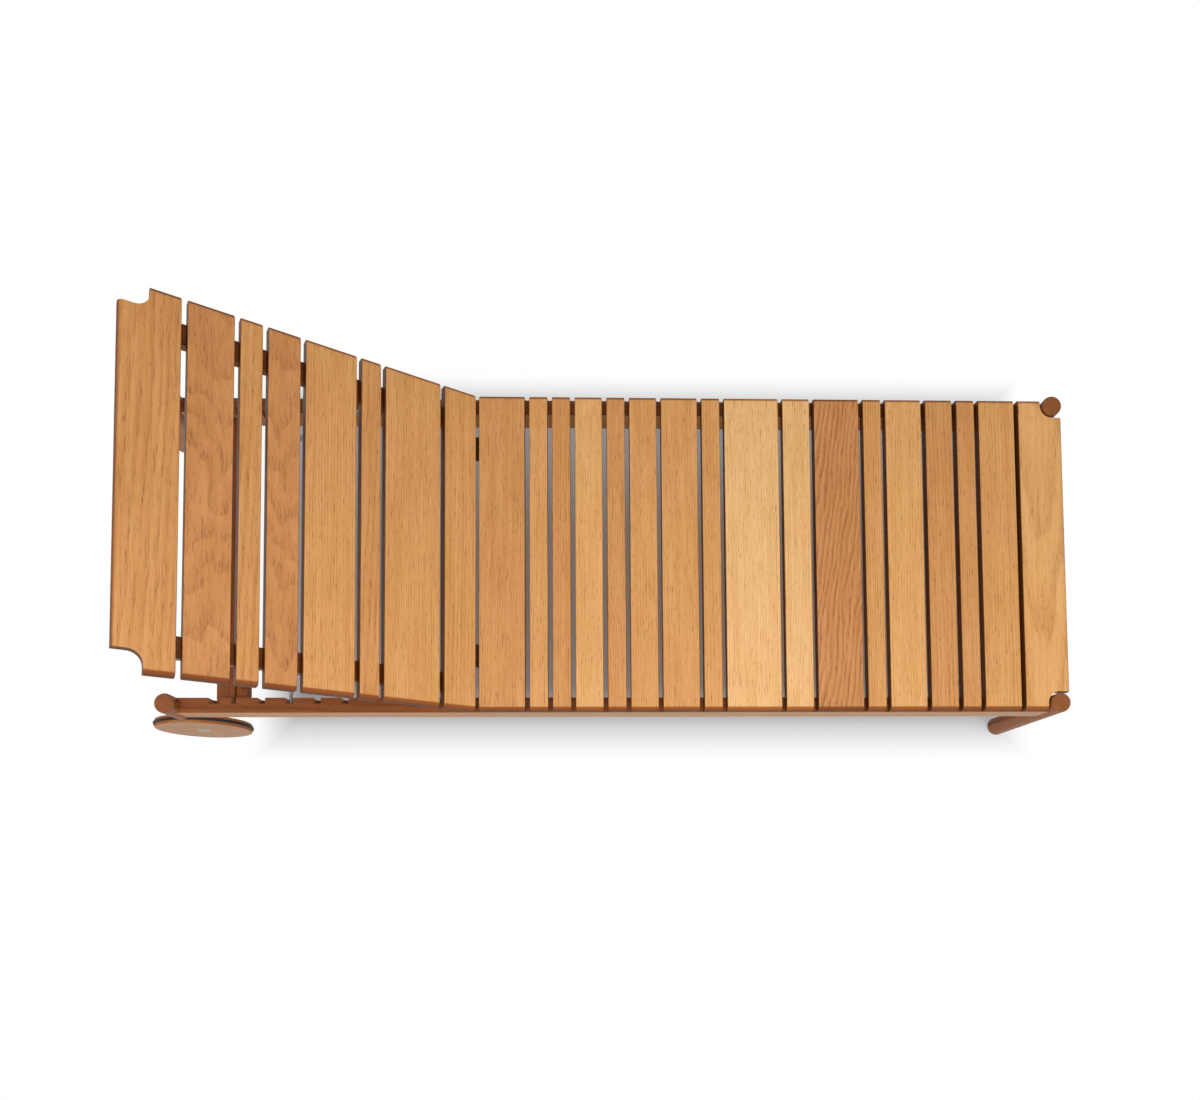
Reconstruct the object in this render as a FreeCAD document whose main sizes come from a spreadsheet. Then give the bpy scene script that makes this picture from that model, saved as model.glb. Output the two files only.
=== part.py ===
import FreeCAD, Part
import os
import re
import Sketcher

# A slatted hardwood sun lounger with a tilting back and two wheels at its head end.
# Millimetres. +X points to the foot end, +Y to the left side of someone lying on it and
# +Z up. The origin is on the floor, in the middle of the lounger's length and width.
#
# Every piece is drawn in one of four frames:
#   bed    x from the hinge line towards the foot end, z from the floor
#   back   x and z from the hinge axis, as if the back lay flat, then tilted up
#   prop   x and z from the prop's pivot, the arm along -x, then turned down to the notch
#   wheel  x and z from the axle

os.makedirs("parts", exist_ok=True)
doc = FreeCAD.newDocument("sun_lounger")

# Driving sizes: name, value, meaning
SIZES = [
    ("slat_length", 700.0, "slats, across the lounger"),
    ("slat_thickness", 22.0, "slats"),
    ("slat_gap", 10.0, "open gap between slats, and at the hinge line"),
    ("narrow_slat", 40.0, "width of the narrowest slats"),
    ("slim_slat", 60.0, "width of the next slats"),
    ("middle_slat", 80.0, "width of the middling slats"),
    ("broad_slat", 100.0, "width of the broad slats and of the foot end slat"),
    ("wide_slat", 120.0, "width of the widest slats"),
    ("hinge_slat", 72.0, "width of the back's slat at the hinge line"),
    ("head_slat", 102.0, "width of the slat at the head end"),
    ("end_round", 11.0, "rounding of the slats' top edges at their ends, and along the outer edges"),
    ("edge_round", 2.0, "rounding of the slats' other long top edges"),
    ("deck_height", 300.0, "top of the seat slats above the floor"),
    ("leg_radius", 21.5, "round legs"),
    ("leg_rise", 5.0, "legs above the slats' top"),
    ("leg_top_round", 4.0, "rounding of the legs' top edge"),
    ("leg_inset", 25.0, "leg axis inside the outer edge of an end slat"),
    ("leg_tuck", 16.0, "leg axis inside the end of the slats"),
    ("leg_clearance", 4.0, "room round a leg in the end slat's notch"),
    ("head_leg_foot", 45.0, "underside of the head legs above the floor"),
    ("glide_thickness", 4.0, "glides under the foot legs"),
    ("glide_radius", 15.0, "glides under the foot legs"),
    ("rail_width", 33.0, "side rails, across"),
    ("rail_height", 55.0, "side rails"),
    ("rail_round", 3.0, "rounding of the side rails' lower outer edge"),
    ("notch_depth", 29.0, "prop notches below the rail's top"),
    ("notch_reach", 13.0, "prop notches into the rail from its inner side"),
    ("notch_width", 16.5, "prop notches along the rail"),
    ("notch_pitch", 60.0, "from one prop notch to the next"),
    ("first_notch", 280.0, "hinge side wall of the first notch from the hinge line"),
    ("groove_width", 11.5, "last notch, and the groove in line with it on the head cross rail"),
    ("entry_notch_width", 24.0, "wide notch at the head cross rail's outer edge"),
    ("entry_notch_lap", 14.5, "wide notch inside the head cross rail's outer edge"),
    ("cross_rail_height", 30.0, "hinge and foot cross rails"),
    ("head_cross_width", 63.0, "head cross rail along the lounger"),
    ("head_cross_inner", 18.5, "head cross rail's inner edge from the middle of its groove"),
    ("head_cross_drop", 21.5, "head cross rail's top below the side rails' top"),
    ("arm_relief", 27.0, "low ends of the head cross rail, where the prop arms may pass"),
    ("cross_rail_width", 60.0, "hinge and foot cross rails along the lounger"),
    ("hinge_cross_setback", 15.0, "hinge cross rail from the hinge line's gap"),
    ("foot_cross_setback", 50.0, "foot cross rail from the foot end"),
    ("batten_width", 40.0, "battens under the back"),
    ("batten_thickness", 20.0, "battens under the back"),
    ("batten_inset", 6.0, "room between a side rail and its batten when the back lies flat"),
    ("batten_end_gap", 14.0, "battens from the hinge line"),
    ("batten_tail", 64.0, "battens from the back's outer edge"),
    ("recline", 32.0, "back above the level, degrees"),
    ("hinge_depth", 6.0, "hinge axis below the slats' top"),
    ("hinge_length", 50.0, "butt hinges"),
    ("hinge_inset", 120.0, "middle of each butt hinge from the slats' ends"),
    ("leaf_thickness", 1.6, "butt hinge leaves"),
    ("leaf_drop", 14.0, "butt hinge leaves below the hinge axis"),
    ("knuckle_radius", 4.2, "butt hinge knuckles"),
    ("hinge_pin_radius", 2.0, "butt hinge pins"),
    ("pin_clearance", 0.05, "radial room round the hinge pins, prop bolts and axles"),
    ("knuckle_gap", 0.4, "room between neighbouring knuckles"),
    ("leaf_screw_drop", 9.5, "butt hinge screws below the hinge axis"),
    ("leaf_screw_inset", 8.0, "butt hinge screws from the ends of their leaf"),
    ("leaf_screw_radius", 1.5, "butt hinge screws"),
    ("leaf_screw_length", 16.0, "butt hinge screws, heads and all"),
    ("leaf_screw_head", 1.0, "thickness of the butt hinge screws' heads"),
    ("leaf_screw_head_radius", 3.0, "butt hinge screws' heads"),
    ("prop_reach", 230.0, "prop pivot from the hinge line along the back"),
    ("rod_radius", 4.0, "prop rod"),
    ("rod_end_gap", 0.5, "room between the rod's ends and the side rails"),
    ("arm_width", 12.0, "prop arms"),
    ("arm_thickness", 4.0, "prop arms"),
    ("arm_gap", 3.0, "room between a batten and the prop arm inside it, filled by a washer"),
    ("prop_bolt_radius", 3.0, "bolts that the prop arms turn on"),
    ("prop_bolt_head_radius", 6.0, "heads, washers and nuts of the prop bolts"),
    ("prop_bolt_head", 4.0, "thickness of the prop bolts' heads and nuts"),
    ("arm_play", 0.2, "room on each side of a prop arm on its bolt"),
    ("wheel_room", 7.0, "room between the wheels and the side rails above them"),
    ("ring_proud", 3.0, "rubber ring beyond the wooden discs"),
    ("ring_thickness", 6.0, "rubber ring"),
    ("ring_depth", 28.0, "rubber ring from its inner to its outer edge"),
    ("disc_thickness", 6.5, "each wooden disc"),
    ("disc_round", 2.5, "rounding of the wooden discs' edges"),
    ("wheel_proud", 9.0, "wheels' outer face beyond the slat ends"),
    ("wheel_gap", 2.0, "room between a wheel and the flat of its leg"),
    ("shoulder_gap", 8.0, "leg's shoulder above its wheel"),
    ("cut_past", 1.0, "cuts past the surface that they open"),
    ("axle_radius", 5.0, "axle bolts"),
    ("axle_head_radius", 10.0, "heads of the axle bolts"),
    ("axle_head", 4.0, "thickness of the axle bolts' heads"),
    ("axle_grip", 16.0, "axle bolts into the legs"),
    ("bush_radius", 7.5, "bushes in the wheels"),
    ("bush_gap", 0.3, "room between a bush and the leg, and the head of its axle bolt"),
    ("cap_radius", 16.0, "hub caps"),
    ("cap_thickness", 2.3, "hub caps"),
    ("cap_proud", 0.3, "hub caps beyond the discs"),
    ("head_well", 1.5, "room round the axle bolts' heads"),
    ("dowel_radius", 5.0, "wooden dowels"),
    ("dowel_length", 50.0, "wooden dowels"),
    ("leg_dowel_reach", 8.0, "leg dowels past the leg's axis"),
    ("leg_dowel_spread", 25.0, "from one leg dowel to the other"),
    ("cross_dowel_reach", 11.5, "cross dowels into the side rail"),
    ("cross_dowel_spread", 38.0, "from one cross dowel to the other"),
    ("cross_dowel_rise", 9.5, "cross dowels above the cross rail's underside"),
    ("screw_radius", 2.5, "screws that hold the slats"),
    ("screw_head_radius", 4.5, "screw heads"),
    ("screw_head", 3.0, "thickness of the screw heads"),
    ("screw_bite", 14.0, "screws into a slat"),
    ("two_screw_width", 70.0, "slats at least this wide have two screws on each side"),
    ("screw_end_room", 8.0, "least room between a screw and the end of its batten"),
    ("end_screw_inset", 12.0, "foot end slat's screws from its inner edge, clear of the legs"),
    ("rail_screw_well", 15.0, "screw wells under the side rails"),
    ("batten_screw_well", 5.0, "screw wells under the battens"),
    ("well_room", 1.0, "room round a screw head in its well"),
]

# Slat widths from the hinge line outwards, by the names above
SEAT_SLATS = [
    "broad_slat", "narrow_slat", "narrow_slat", "slim_slat", "narrow_slat", "slim_slat",
    "middle_slat", "narrow_slat", "wide_slat", "slim_slat", "broad_slat", "narrow_slat",
    "middle_slat", "slim_slat", "narrow_slat", "middle_slat", "broad_slat",
]
BACK_SLATS = [
    "hinge_slat", "wide_slat", "narrow_slat", "broad_slat", "slim_slat", "narrow_slat",
    "middle_slat", "head_slat",
]
NOTCHES = 4
REST_NOTCH = 2
SCREW_SHARES = (0.25, 0.75)
SIDES = (("left", 1), ("right", -1))


def reach(widths):
    """Rule for the distance from the hinge line past a row of slats and their gaps."""
    spaces = len(widths) - 0.5 if widths else 0.5
    return " + ".join(["slat_gap * %s" % spaces] + list(widths))


# Places that follow from the sizes: name and rule
PLACES = [
    ("seat_reach", reach(SEAT_SLATS)),
    ("back_reach", reach(BACK_SLATS)),
    ("head_leg", "back_reach - leg_inset"),
    ("foot_leg", "seat_reach - leg_inset"),
    ("rail_top", "deck_height - slat_thickness"),
    ("rail_bottom", "rail_top - rail_height"),
    ("wheel_radius", "(rail_bottom - wheel_room) / 2"),
    ("hinge_line", "(head_leg + wheel_radius - seat_reach) / 2"),
    ("hinge_height", "deck_height - hinge_depth"),
    ("hinge_side", "slat_length / 2 - hinge_inset"),
    ("rail_outer", "slat_length / 2"),
    ("rail_inner", "rail_outer - rail_width"),
    ("leg_side", "slat_length / 2 - leg_tuck"),
    ("notch_radius", "leg_radius + leg_clearance"),
    ("batten_side", "rail_inner - batten_inset - batten_width / 2"),
    ("batten_inner", "batten_side - batten_width / 2"),
    ("batten_outer", "batten_side + batten_width / 2"),
    ("batten_end", "back_reach - batten_tail"),
    ("batten_top", "hinge_depth - slat_thickness"),
    ("batten_bottom", "batten_top - batten_thickness"),
    ("batten_middle", "batten_top - batten_thickness / 2"),
    ("rod_x", "-(first_notch + %d * notch_pitch + notch_width - rod_radius)" % REST_NOTCH),
    ("rod_z", "rail_top - notch_depth + rod_radius - hinge_height"),
    ("pivot_x", "batten_middle * sin(recline) - prop_reach * cos(recline)"),
    ("pivot_z", "batten_middle * cos(recline) + prop_reach * sin(recline)"),
    ("arm_length", "sqrt((pivot_x - rod_x) ^ 2 + (pivot_z - rod_z) ^ 2)"),
    ("arm_slope", "atan((pivot_z - rod_z) / (pivot_x - rod_x)) / 1 deg"),
    ("groove_line", "first_notch + %d * notch_pitch + notch_width / 2" % NOTCHES),
    ("arm_outer", "batten_inner - arm_gap"),
    ("arm_inner", "arm_outer - arm_thickness"),
    ("head_cross_top", "rail_top - head_cross_drop"),
    ("head_cross_start", "groove_line - head_cross_inner"),
    ("head_cross_line", "head_cross_start + head_cross_width / 2"),
    ("head_cross_end", "head_cross_start + head_cross_width"),
    ("entry_notch_start", "head_cross_end - entry_notch_lap"),
    ("wheel_outer", "slat_length / 2 + wheel_proud"),
    ("ring_outer", "wheel_outer - disc_thickness"),
    ("ring_inner", "ring_outer - ring_thickness"),
    ("wheel_inner", "ring_inner - disc_thickness"),
    ("leg_flat", "wheel_inner - wheel_gap"),
    ("disc_radius", "wheel_radius - ring_proud"),
    ("core_radius", "wheel_radius - ring_depth"),
    ("cap_inner", "wheel_outer + cap_proud - cap_thickness"),
    ("axle_head_outer", "cap_inner - cap_proud"),
    ("axle_head_inner", "axle_head_outer - axle_head"),
]
SIZE_NAMES = {name for name, value, meaning in SIZES}
PLACE_NAMES = {name for name, text in PLACES}


def rule(text):
    """Spell out, in an expression, which object holds each named size or place."""
    def spell(match):
        word = match.group(0)
        if word in SIZE_NAMES:
            return "Sizes." + word
        if word in PLACE_NAMES:
            return "Places." + word
        return word
    return re.sub(r"[a-z][a-z0-9_]*", spell, text)


def write_sizes():
    """Put the driving sizes in a spreadsheet and the places that follow beside it."""
    sheet = doc.addObject("Spreadsheet::Sheet", "Sizes")
    for row, (name, value, meaning) in enumerate(SIZES, 1):
        sheet.set("A%d" % row, name)
        sheet.set("B%d" % row, str(value))
        sheet.set("C%d" % row, meaning)
        sheet.setAlias("B%d" % row, name)
    doc.recompute()
    places = doc.addObject("App::FeaturePython", "Places")
    for name, text in PLACES:
        places.addProperty("App::PropertyFloat", name, "Places")
        places.setExpression(name, rule(text))
        doc.recompute()
    return places


places = write_sizes()


def number(text):
    """Value of a rule now."""
    found = places.evalExpression(rule(text))
    return float(getattr(found, "Value", found))


def minus(text):
    """Rule with the opposite sign."""
    return "-(%s)" % text


def bind(thing, **rules):
    """Tie properties of a thing to rules."""
    for name, text in rules.items():
        thing.setExpression(name, rule(text))


def stand(thing, frame):
    """Put a piece that is drawn in one of the four frames in its place."""
    turn = {"back": "recline", "prop": "-arm_slope"}.get(frame, "0")
    x = {"prop": "hinge_line + pivot_x", "wheel": "hinge_line - head_leg"}.get(frame, "hinge_line")
    z = {"back": "hinge_height", "prop": "hinge_height + pivot_z", "wheel": "wheel_radius"}
    spin = FreeCAD.Rotation(FreeCAD.Vector(0, 1, 0), number(turn))
    place = FreeCAD.Vector(number(x), 0, number(z.get(frame, "0")))
    thing.Placement = FreeCAD.Placement(place, spin)
    if frame in ("back", "prop"):
        thing.setExpression("Placement.Rotation.Angle", rule(turn))
    thing.setExpression("Placement.Base.x", rule(x))
    thing.setExpression("Placement.Base.z", rule(z.get(frame, "0")))


nodes = {}


def keep(thing, label, frame):
    """Name a finished piece, stand it in its frame and list it for the export."""
    thing.Label = label
    stand(thing, frame)
    nodes[label] = thing


# Sketches and solid features

def new_body(label):
    """Empty body for one piece."""
    return doc.addObject("PartDesign::Body", label)


def new_group(label):
    """Empty body for a group of separate like pieces."""
    body = new_body(label)
    body.AllowCompound = True
    return body


def new_sketch(body, role, height):
    """Sketch on one of a body's own planes, moved along the plane's normal."""
    sketch = body.newObject("Sketcher::SketchObject", "Sketch")
    plane = next(item for item in body.Origin.OriginFeatures if item.Role == role)
    sketch.AttachmentSupport = [(plane, "")]
    sketch.MapMode = "FlatFace"
    sketch.AttachmentOffset = FreeCAD.Placement(FreeCAD.Vector(0, 0, number(height)),
                                                FreeCAD.Rotation())
    sketch.setExpression("AttachmentOffset.Base.z", rule(height))
    return sketch


def hold(sketch, kind, geometry, point, text):
    """Hold one coordinate of a sketch point at a rule."""
    value = number(text)
    if abs(value) < 1e-9:
        axis = -2 if kind == "DistanceX" else -1
        sketch.addConstraint(Sketcher.Constraint("PointOnObject", geometry, point, axis))
        return
    index = sketch.addConstraint(Sketcher.Constraint(kind, -1, 1, geometry, point, value))
    sketch.setExpression("Constraints[%d]" % index, rule(text))


def draw_outline(sketch, corners):
    """Draw a closed outline. A corner is (x, y), or (x, y, centre x, centre y) before an arc."""
    spots = [FreeCAD.Vector(number(corner[0]), number(corner[1]), 0) for corner in corners]
    ends = []
    for index, corner in enumerate(corners):
        start = spots[index]
        stop = spots[(index + 1) % len(corners)]
        if len(corner) == 2:
            sketch.addGeometry(Part.LineSegment(start, stop), False)
            ends.append((1, 2))
            continue
        centre = FreeCAD.Vector(number(corner[2]), number(corner[3]), 0)
        towards_start = start - centre
        towards_stop = stop - centre
        anticlockwise = towards_start.cross(towards_stop).z >= -1e-6
        first, last = (towards_start, towards_stop)
        if not anticlockwise:
            first, last = last, first
        x_axis = FreeCAD.Vector(1, 0, 0)
        upward = FreeCAD.Vector(0, 0, 1)
        angles = [x_axis.getAngle(arm) * (1 if arm.y >= -1e-9 else -1) for arm in (first, last)]
        circle = Part.Circle(centre, upward, towards_start.Length)
        sketch.addGeometry(Part.ArcOfCircle(circle, angles[0], angles[1]), False)
        ends.append((1, 2) if anticlockwise else (2, 1))
    base = sketch.GeometryCount - len(corners)
    for index, corner in enumerate(corners):
        following = (index + 1) % len(corners)
        sketch.addConstraint(Sketcher.Constraint("Coincident", base + index, ends[index][1],
                                                 base + following, ends[following][0]))
    for index, corner in enumerate(corners):
        hold(sketch, "DistanceX", base + index, ends[index][0], corner[0])
        hold(sketch, "DistanceY", base + index, ends[index][0], corner[1])
        if len(corner) == 4:
            hold(sketch, "DistanceX", base + index, 3, corner[2])


def draw_box(sketch, x_low, x_high, y_low, y_high):
    """Draw a rectangle between four rules."""
    draw_outline(sketch, [(x_low, y_low), (x_high, y_low), (x_high, y_high), (x_low, y_high)])


def draw_circles(sketch, centres, radius):
    """Draw circles of one radius."""
    for x, y in centres:
        spot = FreeCAD.Vector(number(x), number(y), 0)
        upward = FreeCAD.Vector(0, 0, 1)
        geometry = sketch.addGeometry(Part.Circle(spot, upward, number(radius)), False)
        hold(sketch, "DistanceX", geometry, 3, x)
        hold(sketch, "DistanceY", geometry, 3, y)
        index = sketch.addConstraint(Sketcher.Constraint("Radius", geometry, number(radius)))
        sketch.setExpression("Constraints[%d]" % index, rule(radius))


def pad(body, sketch, length, against_normal=False):
    """Raise a sketch along its normal, or against it."""
    feature = body.newObject("PartDesign::Pad", "Pad")
    feature.Profile = sketch
    feature.Reversed = against_normal
    bind(feature, Length=length)
    doc.recompute()


def pad_outward(body, side, start, centres, radius, length):
    """Round rods across the lounger, outwards from a distance beside its middle."""
    sketch = new_sketch(body, "XZ_Plane", "-%d * (%s)" % (side, start))
    draw_circles(sketch, centres, radius)
    pad(body, sketch, length, side > 0)


def pocket(body, sketch, depth, along_normal):
    """Cut a sketch into the body, along its normal or against it."""
    before = body.Shape.Volume
    feature = body.newObject("PartDesign::Pocket", "Pocket")
    feature.Profile = sketch
    feature.Reversed = along_normal
    bind(feature, Length=depth)
    doc.recompute()
    if body.Shape.Volume > before - 1.0:
        raise ValueError("a pocket of %s cuts nothing" % body.Label)


def revolve(body, sketch):
    """Turn a sketch once round its upright axis."""
    feature = body.newObject("PartDesign::Revolution", "Revolution")
    feature.Profile = sketch
    feature.ReferenceAxis = (sketch, ["V_Axis"])
    feature.Angle = 360
    doc.recompute()


def round_edges(body, chosen, radius):
    """Round the edges of a body that a test picks by their middle and their bounding box."""
    base = body.Tip
    names = []
    for index, edge in enumerate(base.Shape.Edges, 1):
        middle = edge.valueAt((edge.FirstParameter + edge.LastParameter) / 2)
        if chosen(middle, edge.BoundBox):
            names.append("Edge%d" % index)
    feature = body.newObject("PartDesign::Fillet", "Fillet")
    feature.Base = (base, names)
    bind(feature, Radius=radius)
    doc.recompute()


def bore(body, role, height, centres, radius, depth, along_normal):
    """Drill round holes from a level of one of the body's planes."""
    sketch = new_sketch(body, role, height)
    draw_circles(sketch, centres, radius)
    pocket(body, sketch, depth, along_normal)


def near(value, target):
    """Whether two lengths are the same."""
    return abs(value - target) < 0.01


# Slats

def slat_spans(widths):
    """Rules for the inner and outer edge of each slat, from the hinge line."""
    spans = []
    for index, width in enumerate(widths):
        inner = "slat_gap * %s" % (index + 0.5)
        if index:
            inner = " + ".join([inner] + widths[:index])
        spans.append((inner, "%s + %s" % (inner, width)))
    return spans


def slat_screws(frame, span, last):
    """Where a slat's screws stand: one in a narrow slat, two in a broad one.

    The foot end slat's stand clear of its legs, and the head end slat's where its batten reaches.
    """
    inner, outer = span
    if frame == "bed" and last:
        return ["%s + end_screw_inset" % inner]
    if number(outer) - number(inner) < number("two_screw_width"):
        return ["((%s) + (%s)) / 2" % (inner, outer)]
    spots = ["(%s) * %s + (%s) * %s" % (inner, 1 - share, outer, share) for share in SCREW_SHARES]
    if frame == "bed":
        return spots
    return [spot for spot in spots if number(spot) < number("batten_end - screw_end_room")]


def row_screws(frame):
    """Where the screws of a whole row of slats stand."""
    spans = slat_spans(SEAT_SLATS if frame == "bed" else BACK_SLATS)
    return [spot for span in spans for spot in slat_screws(frame, span, span is spans[-1])]


def slat_outline(inner, outer, way, end_slat):
    """Corners of a slat seen from above. An end slat is notched round its two legs."""
    half = "slat_length / 2"
    inner_x = "%d * (%s)" % (way, inner)
    outer_x = "%d * (%s)" % (way, outer)
    if not end_slat:
        return [(inner_x, minus(half)), (outer_x, minus(half)), (outer_x, half), (inner_x, half)]
    leg_x = "%d * (%s - leg_inset)" % (way, outer)
    notch_x = "%d * (%s - leg_inset - notch_radius)" % (way, outer)
    notch_y = "leg_side - notch_radius"
    return [
        (inner_x, minus(half)),
        (notch_x, minus(half)),
        (notch_x, minus("leg_side"), leg_x, minus("leg_side")),
        (leg_x, minus(notch_y)),
        (outer_x, minus(notch_y)),
        (outer_x, notch_y),
        (leg_x, notch_y, leg_x, "leg_side"),
        (notch_x, "leg_side"),
        (notch_x, half),
        (inner_x, half),
    ]


def make_slat(label, frame, span, end_slat, hinged):
    """One slat: rounded over at its ends, its long edges eased, drilled for its screws."""
    inner, outer = span
    way = 1 if frame == "bed" else -1
    inner_edge = "%d * (%s)" % (way, inner)
    underside = "rail_top" if frame == "bed" else "batten_top"
    screw_side = "(rail_inner + rail_outer) / 2" if frame == "bed" else "batten_side"
    body = new_body(label)
    sketch = new_sketch(body, "XY_Plane", underside)
    draw_outline(sketch, slat_outline(inner, outer, way, end_slat))
    pad(body, sketch, "slat_thickness")
    top = number(underside) + number("slat_thickness")
    half = number("slat_length") / 2
    outer_x = way * number(outer)
    inner_x = way * number(inner)

    def at_end(middle, box):
        end = near(abs(middle.y), half) and near(middle.z, top)
        rim = end_slat and near(middle.x, outer_x) and near(middle.z, top)
        return end or rim

    def at_side(middle, box):
        side = near(middle.x, inner_x) or (near(middle.x, outer_x) and not end_slat)
        return side and near(box.ZMax, top) and near(middle.z, top)

    round_edges(body, at_end, "end_round")
    round_edges(body, at_side, "edge_round")
    centres = [("%d * (%s)" % (way, place), side)
               for place in slat_screws(frame, span, end_slat)
               for side in (screw_side, minus(screw_side))]
    bore(body, "XY_Plane", underside, centres, "screw_radius", "screw_bite", True)
    if hinged:
        height = "hinge_height" if frame == "bed" else "0"
        bore(body, "YZ_Plane", inner_edge, leaf_screw_spots(height), "leaf_screw_radius",
             "leaf_screw_length - leaf_thickness", way > 0)
    keep(body, label, frame)


def make_slats():
    """Seat slats with the foot end slat, and back slats with the head end slat."""
    rows = [("bed", SEAT_SLATS, "seat_slat_%02d", "foot_end_slat"),
            ("back", BACK_SLATS, "back_slat_%02d", "head_end_slat")]
    for frame, widths, numbered, end_name in rows:
        for index, span in enumerate(slat_spans(widths), 1):
            last = index == len(widths)
            make_slat(end_name if last else numbered % index, frame, span, last, index == 1)


# Frame

def leg_dowel_levels():
    """Heights of the two dowels between a leg and its side rail."""
    middle = "rail_bottom + rail_height / 2"
    return ["%s + leg_dowel_spread / 2" % middle, "%s - leg_dowel_spread / 2" % middle]


def cross_rails():
    """Each cross rail's name, middle along the lounger, width, underside and height."""
    return [
        ("head_cross_rail", "-head_cross_line", "head_cross_width", "rail_bottom",
         "head_cross_top - rail_bottom"),
        ("hinge_cross_rail", "slat_gap / 2 + hinge_cross_setback + cross_rail_width / 2",
         "cross_rail_width", "rail_top - cross_rail_height", "cross_rail_height"),
        ("foot_cross_rail", "seat_reach - foot_cross_setback - cross_rail_width / 2",
         "cross_rail_width", "rail_top - cross_rail_height", "cross_rail_height"),
    ]


def cross_dowel_spots(middle, underside):
    """Places of a cross rail's dowels: along the lounger and above the floor."""
    return [("%s + %s" % (middle, shift), "%s + cross_dowel_rise" % underside)
            for shift in ("cross_dowel_spread / 2", "-cross_dowel_spread / 2")]


def all_cross_dowels():
    """Places of all cross rails' dowels."""
    return [spot for name, middle, width, underside, height in cross_rails()
            for spot in cross_dowel_spots(middle, underside)]


def make_side_rail(name, side):
    """Side rail: coped round its legs, notched inside for the prop rod, drilled below."""
    body = new_body("side_rail_" + name)
    sketch = new_sketch(body, "XY_Plane", "rail_bottom")
    sides = ["%d * rail_inner" % side, "%d * rail_outer" % side]
    draw_box(sketch, "-head_leg", "foot_leg", sides[0], sides[1])
    pad(body, sketch, "rail_height")
    bottom = number("rail_bottom")
    outer = number("rail_outer")
    round_edges(body, lambda middle, box: near(abs(middle.y), outer) and near(middle.z, bottom),
                "rail_round")
    legs = [(x, "%d * leg_side" % side) for x in ("-head_leg", "foot_leg")]
    bore(body, "XY_Plane", "rail_bottom", legs, "leg_radius", "rail_height", True)
    sketch = new_sketch(body, "XY_Plane", "rail_top")
    blind = "%d * (rail_inner + notch_reach)" % side
    walls = [("first_notch + %d * notch_pitch" % index, "notch_width") for index in range(NOTCHES)]
    walls.append(("groove_line - groove_width / 2", "groove_width"))
    walls.append(("entry_notch_start", "entry_notch_width"))
    for wall, width in walls:
        draw_box(sketch, "-(%s + %s)" % (wall, width), minus(wall), sides[0], blind)
    pocket(body, sketch, "notch_depth", False)
    middle = "%d * (rail_inner + rail_outer) / 2" % side
    centres = [(spot, middle) for spot in row_screws("bed")]
    bore(body, "XY_Plane", "rail_bottom", centres, "screw_radius", "rail_height", True)
    bore(body, "XY_Plane", "rail_bottom", centres, "screw_head_radius + well_room",
         "rail_screw_well", True)
    dowels = [("%d * leg_side" % side, level) for level in leg_dowel_levels()]
    in_rail = "dowel_length - leg_dowel_reach"
    bore(body, "YZ_Plane", "-head_leg", dowels, "dowel_radius", in_rail, True)
    bore(body, "YZ_Plane", "foot_leg", dowels, "dowel_radius", in_rail, False)
    bore(body, "XZ_Plane", "-%d * rail_inner" % side, all_cross_dowels(), "dowel_radius",
         "cross_dowel_reach", side < 0)
    keep(body, "side_rail_" + name, "bed")


def make_leg(label, x, side, underside, inward):
    """Round leg with an eased top, drilled for the dowels of its side rail."""
    body = new_body(label)
    sketch = new_sketch(body, "XY_Plane", underside)
    draw_circles(sketch, [(x, "%d * leg_side" % side)], "leg_radius")
    pad(body, sketch, "deck_height + leg_rise - (%s)" % underside)
    top = number("deck_height + leg_rise")
    round_edges(body, lambda middle, box: near(middle.z, top), "leg_top_round")
    dowels = [("%d * leg_side" % side, level) for level in leg_dowel_levels()]
    bore(body, "YZ_Plane", x, dowels, "dowel_radius", "leg_radius + cut_past",
         inward > 0)
    bore(body, "YZ_Plane", x, dowels, "dowel_radius", "leg_dowel_reach", inward < 0)
    return body


def make_head_leg(name, side):
    """Head leg: its outer side is cut flat below a shoulder, where the wheel runs."""
    body = make_leg("head_leg_" + name, "-head_leg", side, "head_leg_foot", 1)
    sketch = new_sketch(body, "XY_Plane", "head_leg_foot")
    draw_box(sketch, "-head_leg - leg_radius - cut_past", "-head_leg + leg_radius + cut_past",
             "%d * leg_flat" % side, "%d * (leg_side + leg_radius + cut_past)" % side)
    pocket(body, sketch, "2 * wheel_radius + shoulder_gap - head_leg_foot", True)
    bore(body, "XZ_Plane", "-%d * leg_flat" % side, [("-head_leg", "wheel_radius")],
         "axle_radius", "axle_grip", side > 0)
    keep(body, "head_leg_" + name, "bed")


def make_cross_rail(label, middle, width, underside, height):
    """Cross rail between the side rails, drilled at both ends for its dowels."""
    body = new_body(label)
    sketch = new_sketch(body, "XY_Plane", underside)
    draw_box(sketch, "%s - %s / 2" % (middle, width), "%s + %s / 2" % (middle, width),
             "-rail_inner", "rail_inner")
    pad(body, sketch, height)
    spots = cross_dowel_spots(middle, underside)
    depth = "dowel_length - cross_dowel_reach"
    bore(body, "XZ_Plane", "-rail_inner", spots, "dowel_radius", depth, True)
    bore(body, "XZ_Plane", "rail_inner", spots, "dowel_radius", depth, False)
    return body


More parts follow.
